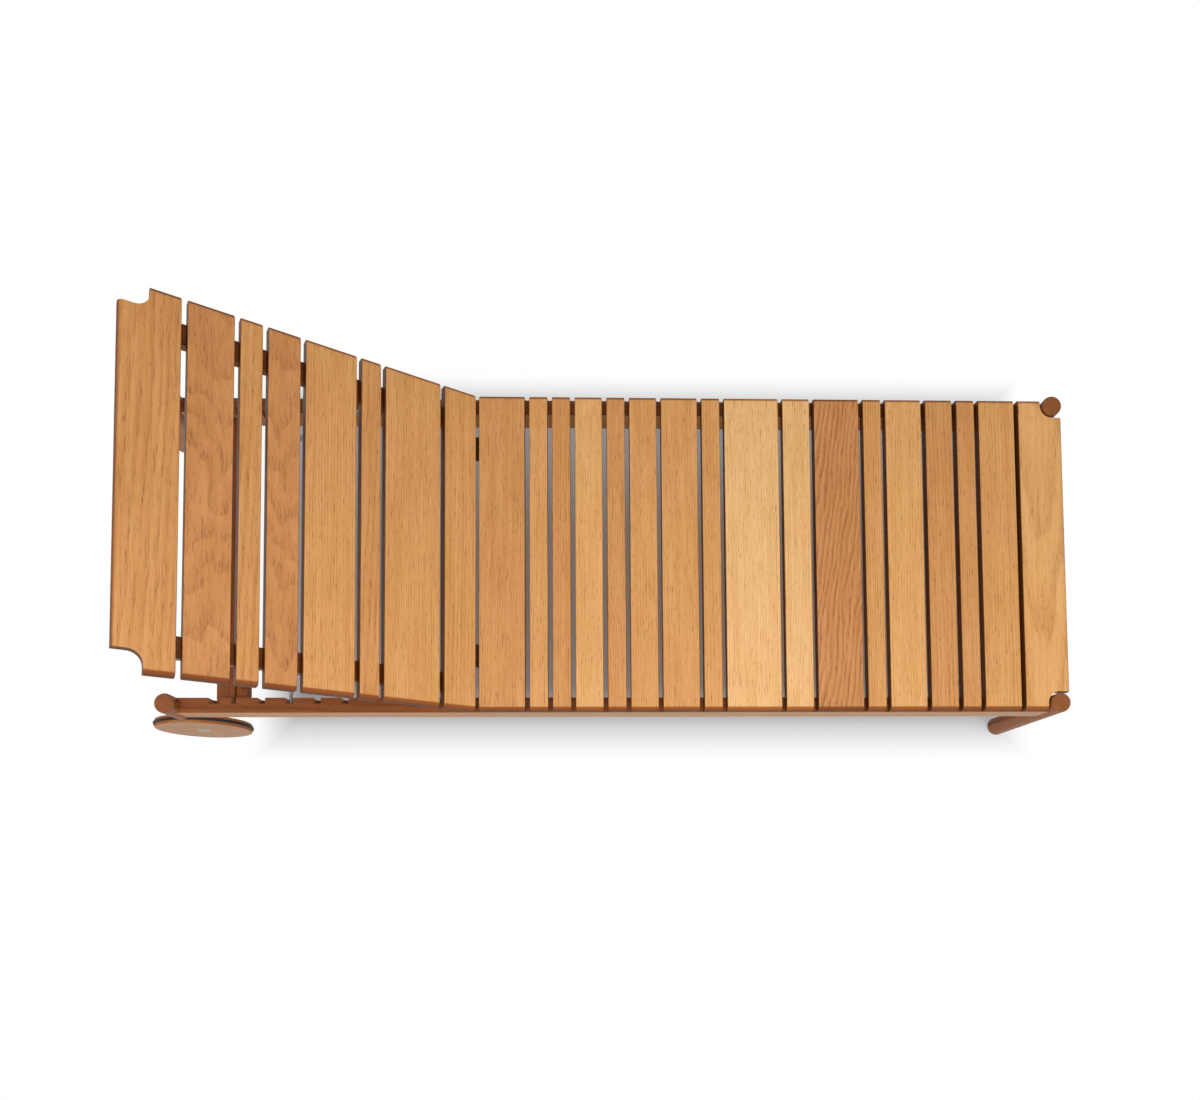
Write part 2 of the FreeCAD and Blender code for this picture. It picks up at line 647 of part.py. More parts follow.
def make_cross_rails():
    """Head cross rail with its groove and its low ends, and two plain cross rails."""
    for label, middle, width, underside, height in cross_rails():
        body = make_cross_rail(label, middle, width, underside, height)
        if label == "head_cross_rail":
            groove_edge = "groove_width / 2 - groove_line"
            depth = "head_cross_top - rail_top + notch_depth"
            sketch = new_sketch(body, "XY_Plane", "head_cross_top")
            draw_box(sketch, "-groove_width / 2 - groove_line", groove_edge,
                     "-rail_inner", "rail_inner")
            pocket(body, sketch, depth, False)
            sketch = new_sketch(body, "XY_Plane", "head_cross_top")
            for side in (1, -1):
                draw_box(sketch, groove_edge, "-head_cross_start",
                         "%d * (rail_inner - arm_relief)" % side, "%d * rail_inner" % side)
            pocket(body, sketch, depth, False)
        keep(body, label, "bed")


def make_batten(name, side):
    """Batten along the back, which carries its slats and one prop pivot."""
    body = new_body("back_batten_" + name)
    sketch = new_sketch(body, "XY_Plane", "batten_bottom")
    draw_box(sketch, "-batten_end", "-batten_end_gap",
             "%d * batten_inner" % side, "%d * batten_outer" % side)
    pad(body, sketch, "batten_thickness")
    bottom = number("batten_bottom")
    across = number("batten_width")
    round_edges(body, lambda middle, box: near(middle.z, bottom) and box.XLength > across,
                "edge_round")
    centres = [(minus(spot), "%d * batten_side" % side) for spot in row_screws("back")]
    bore(body, "XY_Plane", "batten_bottom", centres, "screw_radius", "batten_thickness", True)
    bore(body, "XY_Plane", "batten_bottom", centres, "screw_head_radius + well_room",
         "batten_screw_well", True)
    bore(body, "XZ_Plane", "-%d * batten_outer" % side, [("-prop_reach", "batten_middle")],
         "prop_bolt_radius", "batten_width", side > 0)
    keep(body, "back_batten_" + name, "back")


def make_frame():
    """Side rails, legs, cross rails and battens."""
    for name, side in SIDES:
        make_side_rail(name, side)
        keep(make_leg("foot_leg_" + name, "foot_leg", side, "glide_thickness", -1),
             "foot_leg_" + name, "bed")
        make_head_leg(name, side)
        make_batten(name, side)
    make_cross_rails()


# Groups of like fasteners

def make_screws(label, frame, centres, seat, tip):
    """Upright screws: their heads below the seat, their shanks up to the tip."""
    body = new_group(label)
    sketch = new_sketch(body, "XY_Plane", "%s - screw_head" % seat)
    draw_circles(sketch, centres, "screw_head_radius")
    pad(body, sketch, "screw_head")
    sketch = new_sketch(body, "XY_Plane", seat)
    draw_circles(sketch, centres, "screw_radius")
    pad(body, sketch, "(%s) - (%s)" % (tip, seat))
    keep(body, label, frame)


def make_slat_screws():
    """Screws up through the side rails and the battens into their slats."""
    middle = "(rail_inner + rail_outer) / 2"
    centres = [(spot, across) for across in (middle, minus(middle)) for spot in row_screws("bed")]
    make_screws("seat_slat_screws", "bed", centres, "rail_bottom + rail_screw_well",
                "rail_top + screw_bite")
    centres = [(minus(spot), across) for across in ("batten_side", "-batten_side")
               for spot in row_screws("back")]
    make_screws("back_slat_screws", "back", centres, "batten_bottom + batten_screw_well",
                "batten_top + screw_bite")


def make_dowels():
    """Dowels that join the legs and the cross rails to the side rails."""
    body = new_group("frame_dowels")
    centres = [("%d * leg_side" % side, level) for name, side in SIDES
               for level in leg_dowel_levels()]
    sketch = new_sketch(body, "YZ_Plane", "-head_leg - leg_dowel_reach")
    draw_circles(sketch, centres, "dowel_radius")
    pad(body, sketch, "dowel_length")
    sketch = new_sketch(body, "YZ_Plane", "foot_leg + leg_dowel_reach")
    draw_circles(sketch, centres, "dowel_radius")
    pad(body, sketch, "dowel_length", True)
    for name, side in SIDES:
        pad_outward(body, side, "rail_inner + cross_dowel_reach - dowel_length",
                    all_cross_dowels(), "dowel_radius", "dowel_length")
    keep(body, "frame_dowels", "bed")


def make_glides():
    """Glides under the foot legs."""
    body = new_group("foot_glides")
    sketch = new_sketch(body, "XY_Plane", "0")
    draw_circles(sketch, [("foot_leg", "leg_side"), ("foot_leg", "-leg_side")], "glide_radius")
    pad(body, sketch, "glide_thickness")
    keep(body, "foot_glides", "bed")


# Butt hinges

def leaf_start(side):
    """Rule for the end of a butt hinge nearest the lounger's right side."""
    return "%d * hinge_side - hinge_length / 2" % side


def leaf_screw_spots(height):
    """Places of one row of leaf screws: across the lounger and in height."""
    insets = ("leaf_screw_inset", "hinge_length - leaf_screw_inset")
    return [("%s + %s" % (leaf_start(side), inset), "%s - leaf_screw_drop" % height)
            for name, side in SIDES for inset in insets]


def pad_leftward(body, start, draw, length):
    """Raise what a function draws, leftwards from a distance across the lounger."""
    sketch = new_sketch(body, "XZ_Plane", minus(start))
    draw(sketch)
    pad(body, sketch, length, True)


def make_leaves(label, frame, way, knuckles, height):
    """One leaf of each butt hinge: a plate on its slat's edge, with its knuckles above."""
    body = new_group(label)
    plate_faces = ["%d * (slat_gap / 2 - leaf_thickness)" % way, "%d * slat_gap / 2" % way]
    plate_top = "%s - knuckle_radius - knuckle_gap" % height

    def plate(sketch):
        draw_box(sketch, *plate_faces, "%s - leaf_drop" % height, plate_top)

    def web(sketch):
        draw_box(sketch, *plate_faces, plate_top, height)

    def knuckle(sketch):
        draw_circles(sketch, [("0", height)], "knuckle_radius")

    for name, side in SIDES:
        pad_leftward(body, leaf_start(side), plate, "hinge_length")
        for first, last in knuckles:
            start = "%s + %s" % (leaf_start(side), first)
            length = "(%s) - (%s)" % (last, first)
            pad_leftward(body, start, web, length)
            pad_leftward(body, start, knuckle, length)
    radius = "hinge_pin_radius" if way > 0 else "hinge_pin_radius + pin_clearance"
    bore(body, "XZ_Plane", minus(leaf_start(-1)), [("0", height)], radius, "slat_length", False)
    spots = leaf_screw_spots(height)
    bore(body, "YZ_Plane", plate_faces[0], spots, "leaf_screw_radius", "leaf_thickness", way > 0)
    bore(body, "YZ_Plane", plate_faces[0], spots, "leaf_screw_head_radius", "leaf_screw_head",
         way > 0)
    keep(body, label, frame)


def make_leaf_screws(label, frame, way, height):
    """Screws that hold one leaf of each butt hinge, their heads flush with the leaf."""
    body = new_group(label)
    lengths = [("leaf_screw_head_radius", "leaf_screw_head"),
               ("leaf_screw_radius", "leaf_screw_length")]
    for radius, length in lengths:
        sketch = new_sketch(body, "YZ_Plane", "%d * (slat_gap / 2 - leaf_thickness)" % way)
        draw_circles(sketch, leaf_screw_spots(height), radius)
        pad(body, sketch, length, way < 0)
    keep(body, label, frame)


def make_hinges():
    """Two butt hinges between the first seat slat and the first back slat."""
    third = "hinge_length / 3"
    outer = [("0", "%s - knuckle_gap / 2" % third),
             ("2 * %s + knuckle_gap / 2" % third, "hinge_length")]
    inner = [("%s + knuckle_gap / 2" % third, "2 * %s - knuckle_gap / 2" % third)]
    make_leaves("seat_hinge_leaves", "bed", 1, outer, "hinge_height")
    make_leaves("back_hinge_leaves", "back", -1, inner, "0")
    make_leaf_screws("seat_hinge_screws", "bed", 1, "hinge_height")
    make_leaf_screws("back_hinge_screws", "back", -1, "0")
    body = new_group("hinge_pins")
    for name, side in SIDES:
        pad_leftward(body, leaf_start(side),
                     lambda sketch: draw_circles(sketch, [("0", "hinge_height")], "hinge_pin_radius"),
                     "hinge_length")
    keep(body, "hinge_pins", "bed")


# Prop

def make_prop_arm(name, side):
    """Flat steel arm from its pivot on the batten to the rod."""
    body = new_body("prop_arm_" + name)
    sketch = new_sketch(body, "XZ_Plane", "-%d * arm_inner" % side)
    half = "arm_width / 2"
    draw_outline(sketch, [
        ("-arm_length", half, "-arm_length", "0"),
        ("-arm_length", minus(half)),
        ("0", minus(half), "0", "0"),
        ("0", half),
    ])
    pad(body, sketch, "arm_thickness", side > 0)
    holes = [("0", "prop_bolt_radius + pin_clearance"), ("-arm_length", "rod_radius")]
    for along, radius in holes:
        bore(body, "XZ_Plane", "-%d * arm_inner" % side, [(along, "0")], radius,
             "arm_thickness", side < 0)
    keep(body, "prop_arm_" + name, "prop")


def make_prop_bolts():
    """Bolts that the prop arms turn on, each with its washer and nut."""
    body = new_group("prop_pivot_bolts")
    pivot = [("-prop_reach", "batten_middle")]
    runs = [
        ("arm_inner - arm_play - prop_bolt_head", "prop_bolt_head_radius", "prop_bolt_head"),
        ("arm_inner - arm_play", "prop_bolt_radius", "batten_outer - arm_inner + arm_play"),
        ("arm_outer + arm_play", "prop_bolt_head_radius", "arm_gap - arm_play"),
        ("batten_outer", "prop_bolt_head_radius", "prop_bolt_head"),
    ]
    for name, side in SIDES:
        for start, radius, length in runs:
            pad_outward(body, side, start, pivot, radius, length)
    keep(body, "prop_pivot_bolts", "back")


def make_prop():
    """Two arms, the rod that joins them, and the bolts that they turn on."""
    for name, side in SIDES:
        make_prop_arm(name, side)
    rod = new_body("prop_rod")
    pad_outward(rod, 1, "rod_end_gap - rail_inner", [("-arm_length", "0")], "rod_radius",
                "2 * (rail_inner - rod_end_gap)")
    keep(rod, "prop_rod", "prop")
    make_prop_bolts()


# Wheels

def turn_piece(label, side, profile, rounded):
    """Piece turned about the axle from corners at (radius, distance from the middle)."""
    body = new_body(label)
    sketch = new_sketch(body, "XY_Plane", "0")
    draw_outline(sketch, [(radius, "%d * (%s)" % (side, across)) for radius, across in profile])
    revolve(body, sketch)
    if rounded:
        radius, across = rounded
        level = number(across) * side
        rim = number(radius)
        round_edges(body, lambda middle, box: near(middle.y, level) and near(box.XMax, rim),
                    "disc_round")
    keep(body, label, "wheel")


def make_wheel(name, side):
    """Wheel: two wooden discs that clamp a rubber ring, a bush and a hub cap."""
    turn_piece("wheel_outer_disc_" + name, side, [
        ("bush_radius", "ring_inner"),
        ("core_radius", "ring_inner"),
        ("core_radius", "ring_outer"),
        ("disc_radius", "ring_outer"),
        ("disc_radius", "wheel_outer"),
        ("cap_radius", "wheel_outer"),
        ("cap_radius", "cap_inner"),
        ("axle_head_radius + head_well", "cap_inner"),
        ("axle_head_radius + head_well", "axle_head_inner"),
        ("bush_radius", "axle_head_inner"),
    ], ("disc_radius", "wheel_outer"))
    turn_piece("wheel_inner_disc_" + name, side, [
        ("bush_radius", "wheel_inner"),
        ("disc_radius", "wheel_inner"),
        ("disc_radius", "ring_inner"),
        ("bush_radius", "ring_inner"),
    ], ("disc_radius", "wheel_inner"))
    turn_piece("wheel_ring_" + name, side, [
        ("core_radius", "ring_inner"),
        ("wheel_radius", "ring_inner"),
        ("wheel_radius", "ring_outer"),
        ("core_radius", "ring_outer"),
    ], None)
    turn_piece("wheel_bush_" + name, side, [
        ("axle_radius + pin_clearance", "leg_flat + bush_gap"),
        ("bush_radius", "leg_flat + bush_gap"),
        ("bush_radius", "axle_head_inner - bush_gap"),
        ("axle_radius + pin_clearance", "axle_head_inner - bush_gap"),
    ], None)
    cap = new_body("hub_cap_" + name)
    pad_outward(cap, side, "cap_inner", [("0", "0")], "cap_radius", "cap_thickness")
    keep(cap, "hub_cap_" + name, "wheel")


def make_wheels():
    """Both wheels, and the axle bolts that hold them to the head legs."""
    bolts = new_group("axle_bolts")
    axle = [("-head_leg", "wheel_radius")]
    for name, side in SIDES:
        make_wheel(name, side)
        pad_outward(bolts, side, "leg_flat - axle_grip", axle, "axle_radius",
                    "axle_head_inner - leg_flat + axle_grip")
        pad_outward(bolts, side, "axle_head_inner", axle, "axle_head_radius", "axle_head")
    keep(bolts, "axle_bolts", "bed")


def check_model():
    """Stop if any object of the document failed or any piece is not a sound solid."""
    doc.recompute()
    for thing in doc.Objects:
        if "Invalid" in thing.State or "Error" in thing.State:
            raise ValueError("%s failed: %s" % (thing.Label, thing.State))
    for label, thing in nodes.items():
        shape = thing.Shape
        if shape.isNull() or not shape.isValid() or not shape.Solids:
            raise ValueError("%s is not a sound solid" % label)


def write_nodes():
    """Write each piece to its own file."""
    for label, thing in nodes.items():
        thing.Shape.exportStep("parts/%s.step" % label)
        box = thing.Shape.BoundBox
        print("%-24s solids %2d  x %8.1f %8.1f  y %7.1f %7.1f  z %6.1f %6.1f" % (
            label, len(thing.Shape.Solids), box.XMin, box.XMax, box.YMin, box.YMax,
            box.ZMin, box.ZMax))
    print("%d pieces" % len(nodes))


make_slats()
make_frame()
make_slat_screws()
make_dowels()
make_glides()
make_hinges()
make_prop()
make_wheels()
check_model()
write_nodes()
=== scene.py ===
"""Looks of a slatted wooden sun lounger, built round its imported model."""

import logging
import math
from dataclasses import dataclass, field, replace
from enum import Enum
from typing import Any, Iterable, Mapping, Sequence

import bmesh
import bpy
from mathutils import Matrix, Vector

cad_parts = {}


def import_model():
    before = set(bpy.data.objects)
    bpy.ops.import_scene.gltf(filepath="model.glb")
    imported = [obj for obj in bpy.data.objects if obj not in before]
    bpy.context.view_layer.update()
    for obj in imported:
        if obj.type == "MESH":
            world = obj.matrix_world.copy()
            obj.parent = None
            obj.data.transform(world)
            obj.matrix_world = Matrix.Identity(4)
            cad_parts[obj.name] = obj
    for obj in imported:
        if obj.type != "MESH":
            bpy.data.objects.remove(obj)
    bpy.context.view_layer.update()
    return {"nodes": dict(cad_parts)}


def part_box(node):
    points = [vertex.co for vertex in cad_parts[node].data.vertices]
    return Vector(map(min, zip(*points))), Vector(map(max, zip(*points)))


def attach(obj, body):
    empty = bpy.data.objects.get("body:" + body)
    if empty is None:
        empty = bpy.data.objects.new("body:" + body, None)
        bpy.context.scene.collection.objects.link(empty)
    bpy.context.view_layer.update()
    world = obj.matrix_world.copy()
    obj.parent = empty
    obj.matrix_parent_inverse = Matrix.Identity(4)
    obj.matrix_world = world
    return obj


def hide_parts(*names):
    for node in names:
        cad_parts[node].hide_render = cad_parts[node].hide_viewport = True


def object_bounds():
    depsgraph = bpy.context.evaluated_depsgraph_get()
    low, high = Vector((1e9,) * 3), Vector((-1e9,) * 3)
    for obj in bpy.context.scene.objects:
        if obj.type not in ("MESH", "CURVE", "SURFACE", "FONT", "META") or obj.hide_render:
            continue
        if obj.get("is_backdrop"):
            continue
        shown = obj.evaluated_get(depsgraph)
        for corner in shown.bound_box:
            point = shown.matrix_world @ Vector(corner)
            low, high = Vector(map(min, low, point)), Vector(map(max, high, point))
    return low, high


LOG = logging.getLogger("lounger")

# Slope of the back in the photo
RECLINE = math.radians(32)

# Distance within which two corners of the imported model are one, in metres
SAME_PLACE = 1e-6

# Height of a face's direction below which the face looks straight down
STRAIGHT_DOWN = -0.9


def srgb(code: str) -> tuple[float, float, float, float]:
    """Linear colour of a screen colour.

    Args:
        code: Six hexadecimal digits, with or without a number sign.

    Returns:
        Red, green, blue and an alpha of 1, as shader sockets take them.
    """
    digits = code.lstrip("#")
    shares = [int(digits[at:at + 2], 16) / 255 for at in (0, 2, 4)]
    linear = [c / 12.92 if c <= 0.04045 else ((c + 0.055) / 1.055) ** 2.4 for c in shares]
    return (*linear, 1.0)


# Shader nodes


@dataclass(frozen=True)
class Wave:
    """Soft noise on a surface.

    Args:
        scale: Waves on each metre along three axes.
        detail: Steps of finer waves on top.
        roughness: Strength of each finer step.
    """

    scale: tuple[float, float, float]
    detail: float = 2.0
    roughness: float = 0.5


class Value:
    """Output of a shader node, with maths on it written as an expression."""

    def __init__(self, recipe: "Recipe", socket: bpy.types.NodeSocket) -> None:
        """Wrap an output socket of a recipe's tree."""
        self.recipe = recipe
        self.socket = socket

    def _math(self, operation: str, first: "Operand", second: "Operand" = 0.0) -> "Value":
        """Add a Math node that works on two operands."""
        return self.recipe.node("ShaderNodeMath", {"operation": operation}, {0: first, 1: second})

    def __add__(self, other: "Operand") -> "Value":
        """Sum."""
        return self._math("ADD", self, other)

    def __radd__(self, other: "Operand") -> "Value":
        """Sum, from the right."""
        return self._math("ADD", other, self)

    def __sub__(self, other: "Operand") -> "Value":
        """Difference."""
        return self._math("SUBTRACT", self, other)

    def __rsub__(self, other: "Operand") -> "Value":
        """Difference, from the right."""
        return self._math("SUBTRACT", other, self)

    def __mul__(self, other: "Operand") -> "Value":
        """Product."""
        return self._math("MULTIPLY", self, other)

    def __rmul__(self, other: "Operand") -> "Value":
        """Product, from the right."""
        return self._math("MULTIPLY", other, self)

    def __pow__(self, other: "Operand") -> "Value":
        """Power."""
        return self._math("POWER", self, other)

    def __abs__(self) -> "Value":
        """Distance from zero."""
        return self._math("ABSOLUTE", self)

    def least(self, other: "Operand") -> "Value":
        """Smaller of two."""
        return self._math("MINIMUM", self, other)

    def most(self, other: "Operand") -> "Value":
        """Greater of two."""
        return self._math("MAXIMUM", self, other)

    def part(self) -> "Value":
        """What is left of the number past its whole part."""
        return self._math("FRACT", self)

    def rise(self, low: float, high: float) -> "Value":
        """Smooth step from 0 at the low end to 1 at the high end."""
        return self.recipe.node(
            "ShaderNodeMapRange", {"interpolation_type": "SMOOTHSTEP"},
            {"Value": self, "From Min": low, "From Max": high}, "Result")


Operand = Value | float


class Recipe:
    """Node tree of one material."""

    def __init__(self, name: str) -> None:
        """Start an empty material.

        Args:
            name: Name of the material.
        """
        self.material = bpy.data.materials.new(name)
        self.material.use_nodes = True
        self.tree = self.material.node_tree
        self.tree.nodes.clear()

    def node(self, kind: str, settings: Mapping[str, Any], inputs: Mapping[int | str, Any],
             output: int | str = 0) -> Value:
        """Add a node: its settings first, and then what its sockets hold or are linked to.

        Args:
            kind: The node's type.
            settings: The node's own properties by name.
            inputs: Values, colours or links by socket name or place.
            output: The output socket that is wanted.

        Returns:
            That output, or the first input of a node that has no outputs.
        """
        made = self.tree.nodes.new(kind)
        for name, setting in settings.items():
            setattr(made, name, setting)
        for key, given in inputs.items():
            if isinstance(given, Value):
                self.tree.links.new(given.socket, made.inputs[key])
            else:
                made.inputs[key].default_value = given
        return Value(self, made.outputs[output]) if len(made.outputs) else Value(self, made.inputs[0])

    def place(self) -> Value:
        """Point on the piece, in the lounger's own frame."""
        return self.node("ShaderNodeTexCoord", {}, {}, "Object")

    def slope(self) -> Value:
        """Direction that the surface faces, in the piece's own frame."""
        return self.node("ShaderNodeTexCoord", {}, {}, "Normal")

    def axes(self, vector: Value) -> tuple[Value, Value, Value]:
        """The three numbers of a vector.

        Args:
            vector: The vector.

        Returns:
            Its first, second and third number.
        """
        split = self.node("ShaderNodeSeparateXYZ", {}, {0: vector})
        outputs = split.socket.node.outputs
        return Value(self, outputs[0]), Value(self, outputs[1]), Value(self, outputs[2])

    def settle(self, vector: Value, place: Sequence[float], turn: Sequence[float]) -> Value:
        """The vector in another frame.

        Args:
            vector: A point or a direction.
            place: Place of the other frame.
            turn: Turn of the other frame about the three axes.

        Returns:
            The vector as that frame sees it.
        """
        return self.node("ShaderNodeMapping", {"vector_type": "TEXTURE"},
                         {"Vector": vector, "Location": place, "Rotation": turn})

    def noise(self, point: Value, wave: Wave, output: str = "Fac") -> Value:
        """Soft noise at a point.

        Args:
            point: The point, in metres.
            wave: Scale and detail of the noise.
            output: Fac for a number, or Color for three of them.

        Returns:
            The noise, about 0.5 on the whole.
        """
        spread = self.node("ShaderNodeVectorMath", {"operation": "MULTIPLY"}, {0: point, 1: wave.scale})
        return self.node("ShaderNodeTexNoise", {"noise_dimensions": "3D"},
                         {"Vector": spread, "Scale": 1.0, "Detail": wave.detail,
                          "Roughness": wave.roughness},
                         output)

    def blend(self, share: Operand, first: Any, second: Any) -> Value:
        """Colour between two colours.

        Args:
            share: Share of the second one.
            first: A colour or a link.
            second: A colour or a link.

        Returns:
            The colour.
        """
        made = self.tree.nodes.new("ShaderNodeMix")
        made.data_type = "RGBA"
        made.clamp_factor = True
        for at, given in ((0, share), (6, first), (7, second)):
            if isinstance(given, Value):
                self.tree.links.new(given.socket, made.inputs[at])
            else:
                made.inputs[at].default_value = given
        return Value(self, made.outputs[2])

    def bump(self, height: Value, strength: float, distance: float) -> Value:
        """Normal of a surface with small heights on it, the distance in metres."""
        return self.node("ShaderNodeBump", {},
                         {"Height": height, "Strength": strength, "Distance": distance}, "Normal")

    def surface(self, inputs: Mapping[str, Any]) -> bpy.types.Material:
        """Close the tree with one surface shader.

        Args:
            inputs: Values or links of the shader's sockets.

        Returns:
            The finished material.
        """
        shader = self.node("ShaderNodeBsdfPrincipled", {}, inputs, "BSDF")
        self.node("ShaderNodeOutputMaterial", {}, {"Surface": shader})
        return self.material


# Finishes

DRIFT = Wave((14.0, 14.0, 5.0))
HAIR = Wave((900.0, 900.0, 30.0), 2.0, 0.6)
FIBRE = Wave((380.0, 380.0, 12.0), 3.0, 0.65)
BAND = Wave((85.0, 85.0, 1.2), 2.0, 0.55)
CLOUD = Wave((18.0, 18.0, 7.0))
STREAK = Wave((170.0, 170.0, 5.0), 2.0, 0.6)
DASH = Wave((560.0, 560.0, 50.0), 1.0, 0.5)
SCUFFS = Wave((70.0, 70.0, 70.0), 4.0, 0.65)
DUST = Wave((45.0, 45.0, 45.0), 4.0, 0.6)

# Growth rings on a metre, and the steps round and along the log from one board to the next
RINGS = 190
BOARD_TURN = 2.4
BOARD_STEP = 0.61

# Heights of the finest relief, in metres
WOOD_RELIEF = 0.0004
SKIN_RELIEF = 0.0002
BRUSHED_RELIEF = 0.0001


@dataclass(frozen=True)
class WoodColours:
    """Screen colours of one kind of board: palest, usual, growth lines, pores and cut ends."""

    pale: str
    body: str
    line: str
    pore: str
    # Cut ends: darker end grain, and partly painted shade on the rounded ends
    end: str


class Tone(Enum):
    """Tones of the boards that the lounger is made of."""

    STRAW = WoodColours("#efc084", "#e6b273", "#c98a4a", "#8f5526", "#98500e")
    GOLD = WoodColours("#e6b071", "#dda462", "#bd7d3c", "#864c1e", "#90490c")
    HONEY = WoodColours("#dfa565", "#d49857", "#b07036", "#79431c", "#89440b")
    AMBER = WoodColours("#d89c5f", "#cd8f51", "#a66733", "#703e1c", "#823f0a")
    RUSSET = WoodColours("#d2925a", "#c7874d", "#9c5e30", "#69391b", "#7b3b0a")
    # FRAME is darkened as painted shade for the rail tops, which lie in shade under the slats
    FRAME = WoodColours("#935222", "#82461c", "#623012", "#401c09", "#5a2a0b")
    LEG = WoodColours("#a06134", "#8e5229", "#683717", "#44220e", "#8c4f22")
    WHEEL = WoodColours("#c08a58", "#b07a4a", "#8c5830", "#633a1b", "#9a5a28")
    DOWEL = WoodColours("#e2c69c", "#d8b98c", "#b99463", "#94703f", "#c29a64")


class Grain(Enum):
    """Way that the fibres run, as the turn from a board's own axes: fibres along its third axis."""

    ACROSS = (math.radians(-90), 0.0, 0.0)
    ALONG = (0.0, math.radians(90), 0.0)
    UPRIGHT = (0.0, 0.0, 0.0)
    BACKREST = (0.0, math.radians(-90) + RECLINE, 0.0)


@dataclass(frozen=True)
class Wood:
    """Oiled hardwood with growth lines, fibres, pores, darker cut ends and painted light on its sides.

    Args:
        tone: Colours of the board.
        grain: Way that its fibres run.
        number: Place of the board in its log, so that no two are alike.
        figure: Strength of the growth lines.
        depth: Distance from the board to the middle of its log, in metres.
        lean: Slope of the fibres to the board, which draws the growth lines into arches.
        wobble: Waviness of the growth lines, in metres.
        aside: Distance from the board to the log's middle sideways, in metres.
        dull: Roughness of its smooth parts.
        ior: Refractive index of its oil.
        end_share: Strength of the cut ends' colour.
        side: Colour of painted light on upright faces: shade in slat gaps, reflection on side rails.
        painted_light_share: Strength of that painted light.
        rim: Strength of the painted edge shade, in the cut ends' colour, as a multiple of
            painted_light_share.
        twist: Sideways slope of the fibres, as a share of their lean.
        tilt: Turn of the board's upper face about the lounger's width.
    """

    tone: Tone
    grain: Grain
    number: int = 0
    figure: float = 0.5
    depth: float = 0.03
    lean: float = 0.01
    wobble: float = 0.006
    aside: float = 0.2
    dull: float = 0.52
    ior: float = 1.34
    end_share: float = 0.95
    # Painted light on upright faces; dark painted shade by default, for slat sides in the gaps
    side: str = "#4a2107"
    painted_light_share: float = 0.0
    rim: float = 1.2
    twist: float = 0.6
    tilt: float = 0.0

    def log_place(self) -> tuple[float, float, float]:
        """Place of the log's middle from the middle of the board."""
        side = math.sin(self.number * BOARD_TURN)
        across = self.aside * math.copysign(0.5 + abs(side), side)
        return across, self.depth, BOARD_STEP * self.number

    def material(self, name: str, middle: Vector) -> bpy.types.Material:
        """Build the finish for one board.

        Args:
            name: Name of the material.
            middle: Middle of the board, in metres.

        Returns:
            The material.
        """
        recipe = Recipe(name)
        colours = self.tone.value
        board = recipe.settle(recipe.place(), middle, self.grain.value)
        log = recipe.settle(board, self.log_place(), (self.lean, self.twist * self.lean, 0.0))
        line = self.growth_line(recipe, log)
        fibre = recipe.noise(log, FIBRE)
        cloud = recipe.noise(log, CLOUD)
        pore = recipe.noise(log, DASH).rise(0.56, 0.7)
        mellow = (recipe.noise(log, BAND).rise(0.34, 0.68) * 0.65 + cloud.rise(0.35, 0.65) * 0.45).least(1.0)
        tint = recipe.blend(mellow, srgb(colours.pale), srgb(colours.body))
        figure = line * (recipe.noise(log, STREAK).rise(0.3, 0.7) * 0.75 + 0.25) * self.figure
        grained = fibre.rise(0.46, 0.74) * 0.36 + recipe.noise(log, HAIR).rise(0.45, 0.75) * 0.2
        tint = recipe.blend((figure + grained).least(1.0), tint, srgb(colours.line))
        tint = recipe.blend(pore * (0.2 + 0.3 * line), tint, srgb(colours.pore))
        end = self.end_grain(recipe)
        height = 0.5 * fibre - pore - 0.3 * line
        return recipe.surface({
            "Base Color": self.ends_and_painted_light(recipe, tint, end),
            "Roughness": self.dull + 0.16 * pore + 0.1 * end - 0.08 * cloud,
            "Normal": recipe.bump(height, 0.22, WOOD_RELIEF),
            "IOR": self.ior,
        })

    def growth_line(self, recipe: Recipe, log: Value) -> Value:
        """Growth lines, as thin rings round the middle of the log.

        Args:
            recipe: Node tree of the material.
            log: Point in the log's own frame.

        Returns:
            0 between the lines and 1 on them.
        """
        drift = recipe.noise(log, DRIFT, "Color")
        away = recipe.node("ShaderNodeVectorMath", {"operation": "MULTIPLY_ADD"},
                           {0: drift, 1: (self.wobble, self.wobble, 0.0), 2: log})
        across, thick, _ = recipe.axes(away)
        radius = (across * across + thick * thick) ** 0.5
        ring = (radius * RINGS).part()
        return ring.rise(0.25, 0.9) * (1 - ring.rise(0.93, 1.0))

    def end_grain(self, recipe: Recipe) -> Value:
        """Share of cut fibres in the surface: 1 where it faces along them."""
        turned = recipe.settle(recipe.slope(), (0.0, 0.0, 0.0), self.grain.value)
        return abs(recipe.axes(turned)[2]).rise(0.04, 0.45)

    def ends_and_painted_light(self, recipe: Recipe, tint: Value, end: Value) -> Value:
        """Colour with the cut ends in their own, and painted light on the rounded edges and upright faces.

        Args:
            recipe: Node tree of the material.
            tint: Colour of the board's upper face.
            end: Share of cut fibres in the surface.

        Returns:
            The colour of every face.
        """
        facing = recipe.settle(recipe.slope(), (0.0, 0.0, 0.0), (0.0, self.tilt, 0.0))
        level = abs(recipe.axes(facing)[2])
        # Real end grain, plus painted shade on the rounded edges in the cut ends' colour
        end_grain_and_edge_shade = end.most((1 - level.rise(0.5, 0.98)) * (self.painted_light_share * self.rim))
        tint = recipe.blend(end_grain_and_edge_shade * self.end_share, tint, srgb(self.tone.value.end))
        # Painted light on upright faces: shade on slat sides, reflection on the side rails' outer faces
        upright = 1 - level.rise(0.15, 0.72)
        return recipe.blend(upright * self.painted_light_share, tint, srgb(self.side))


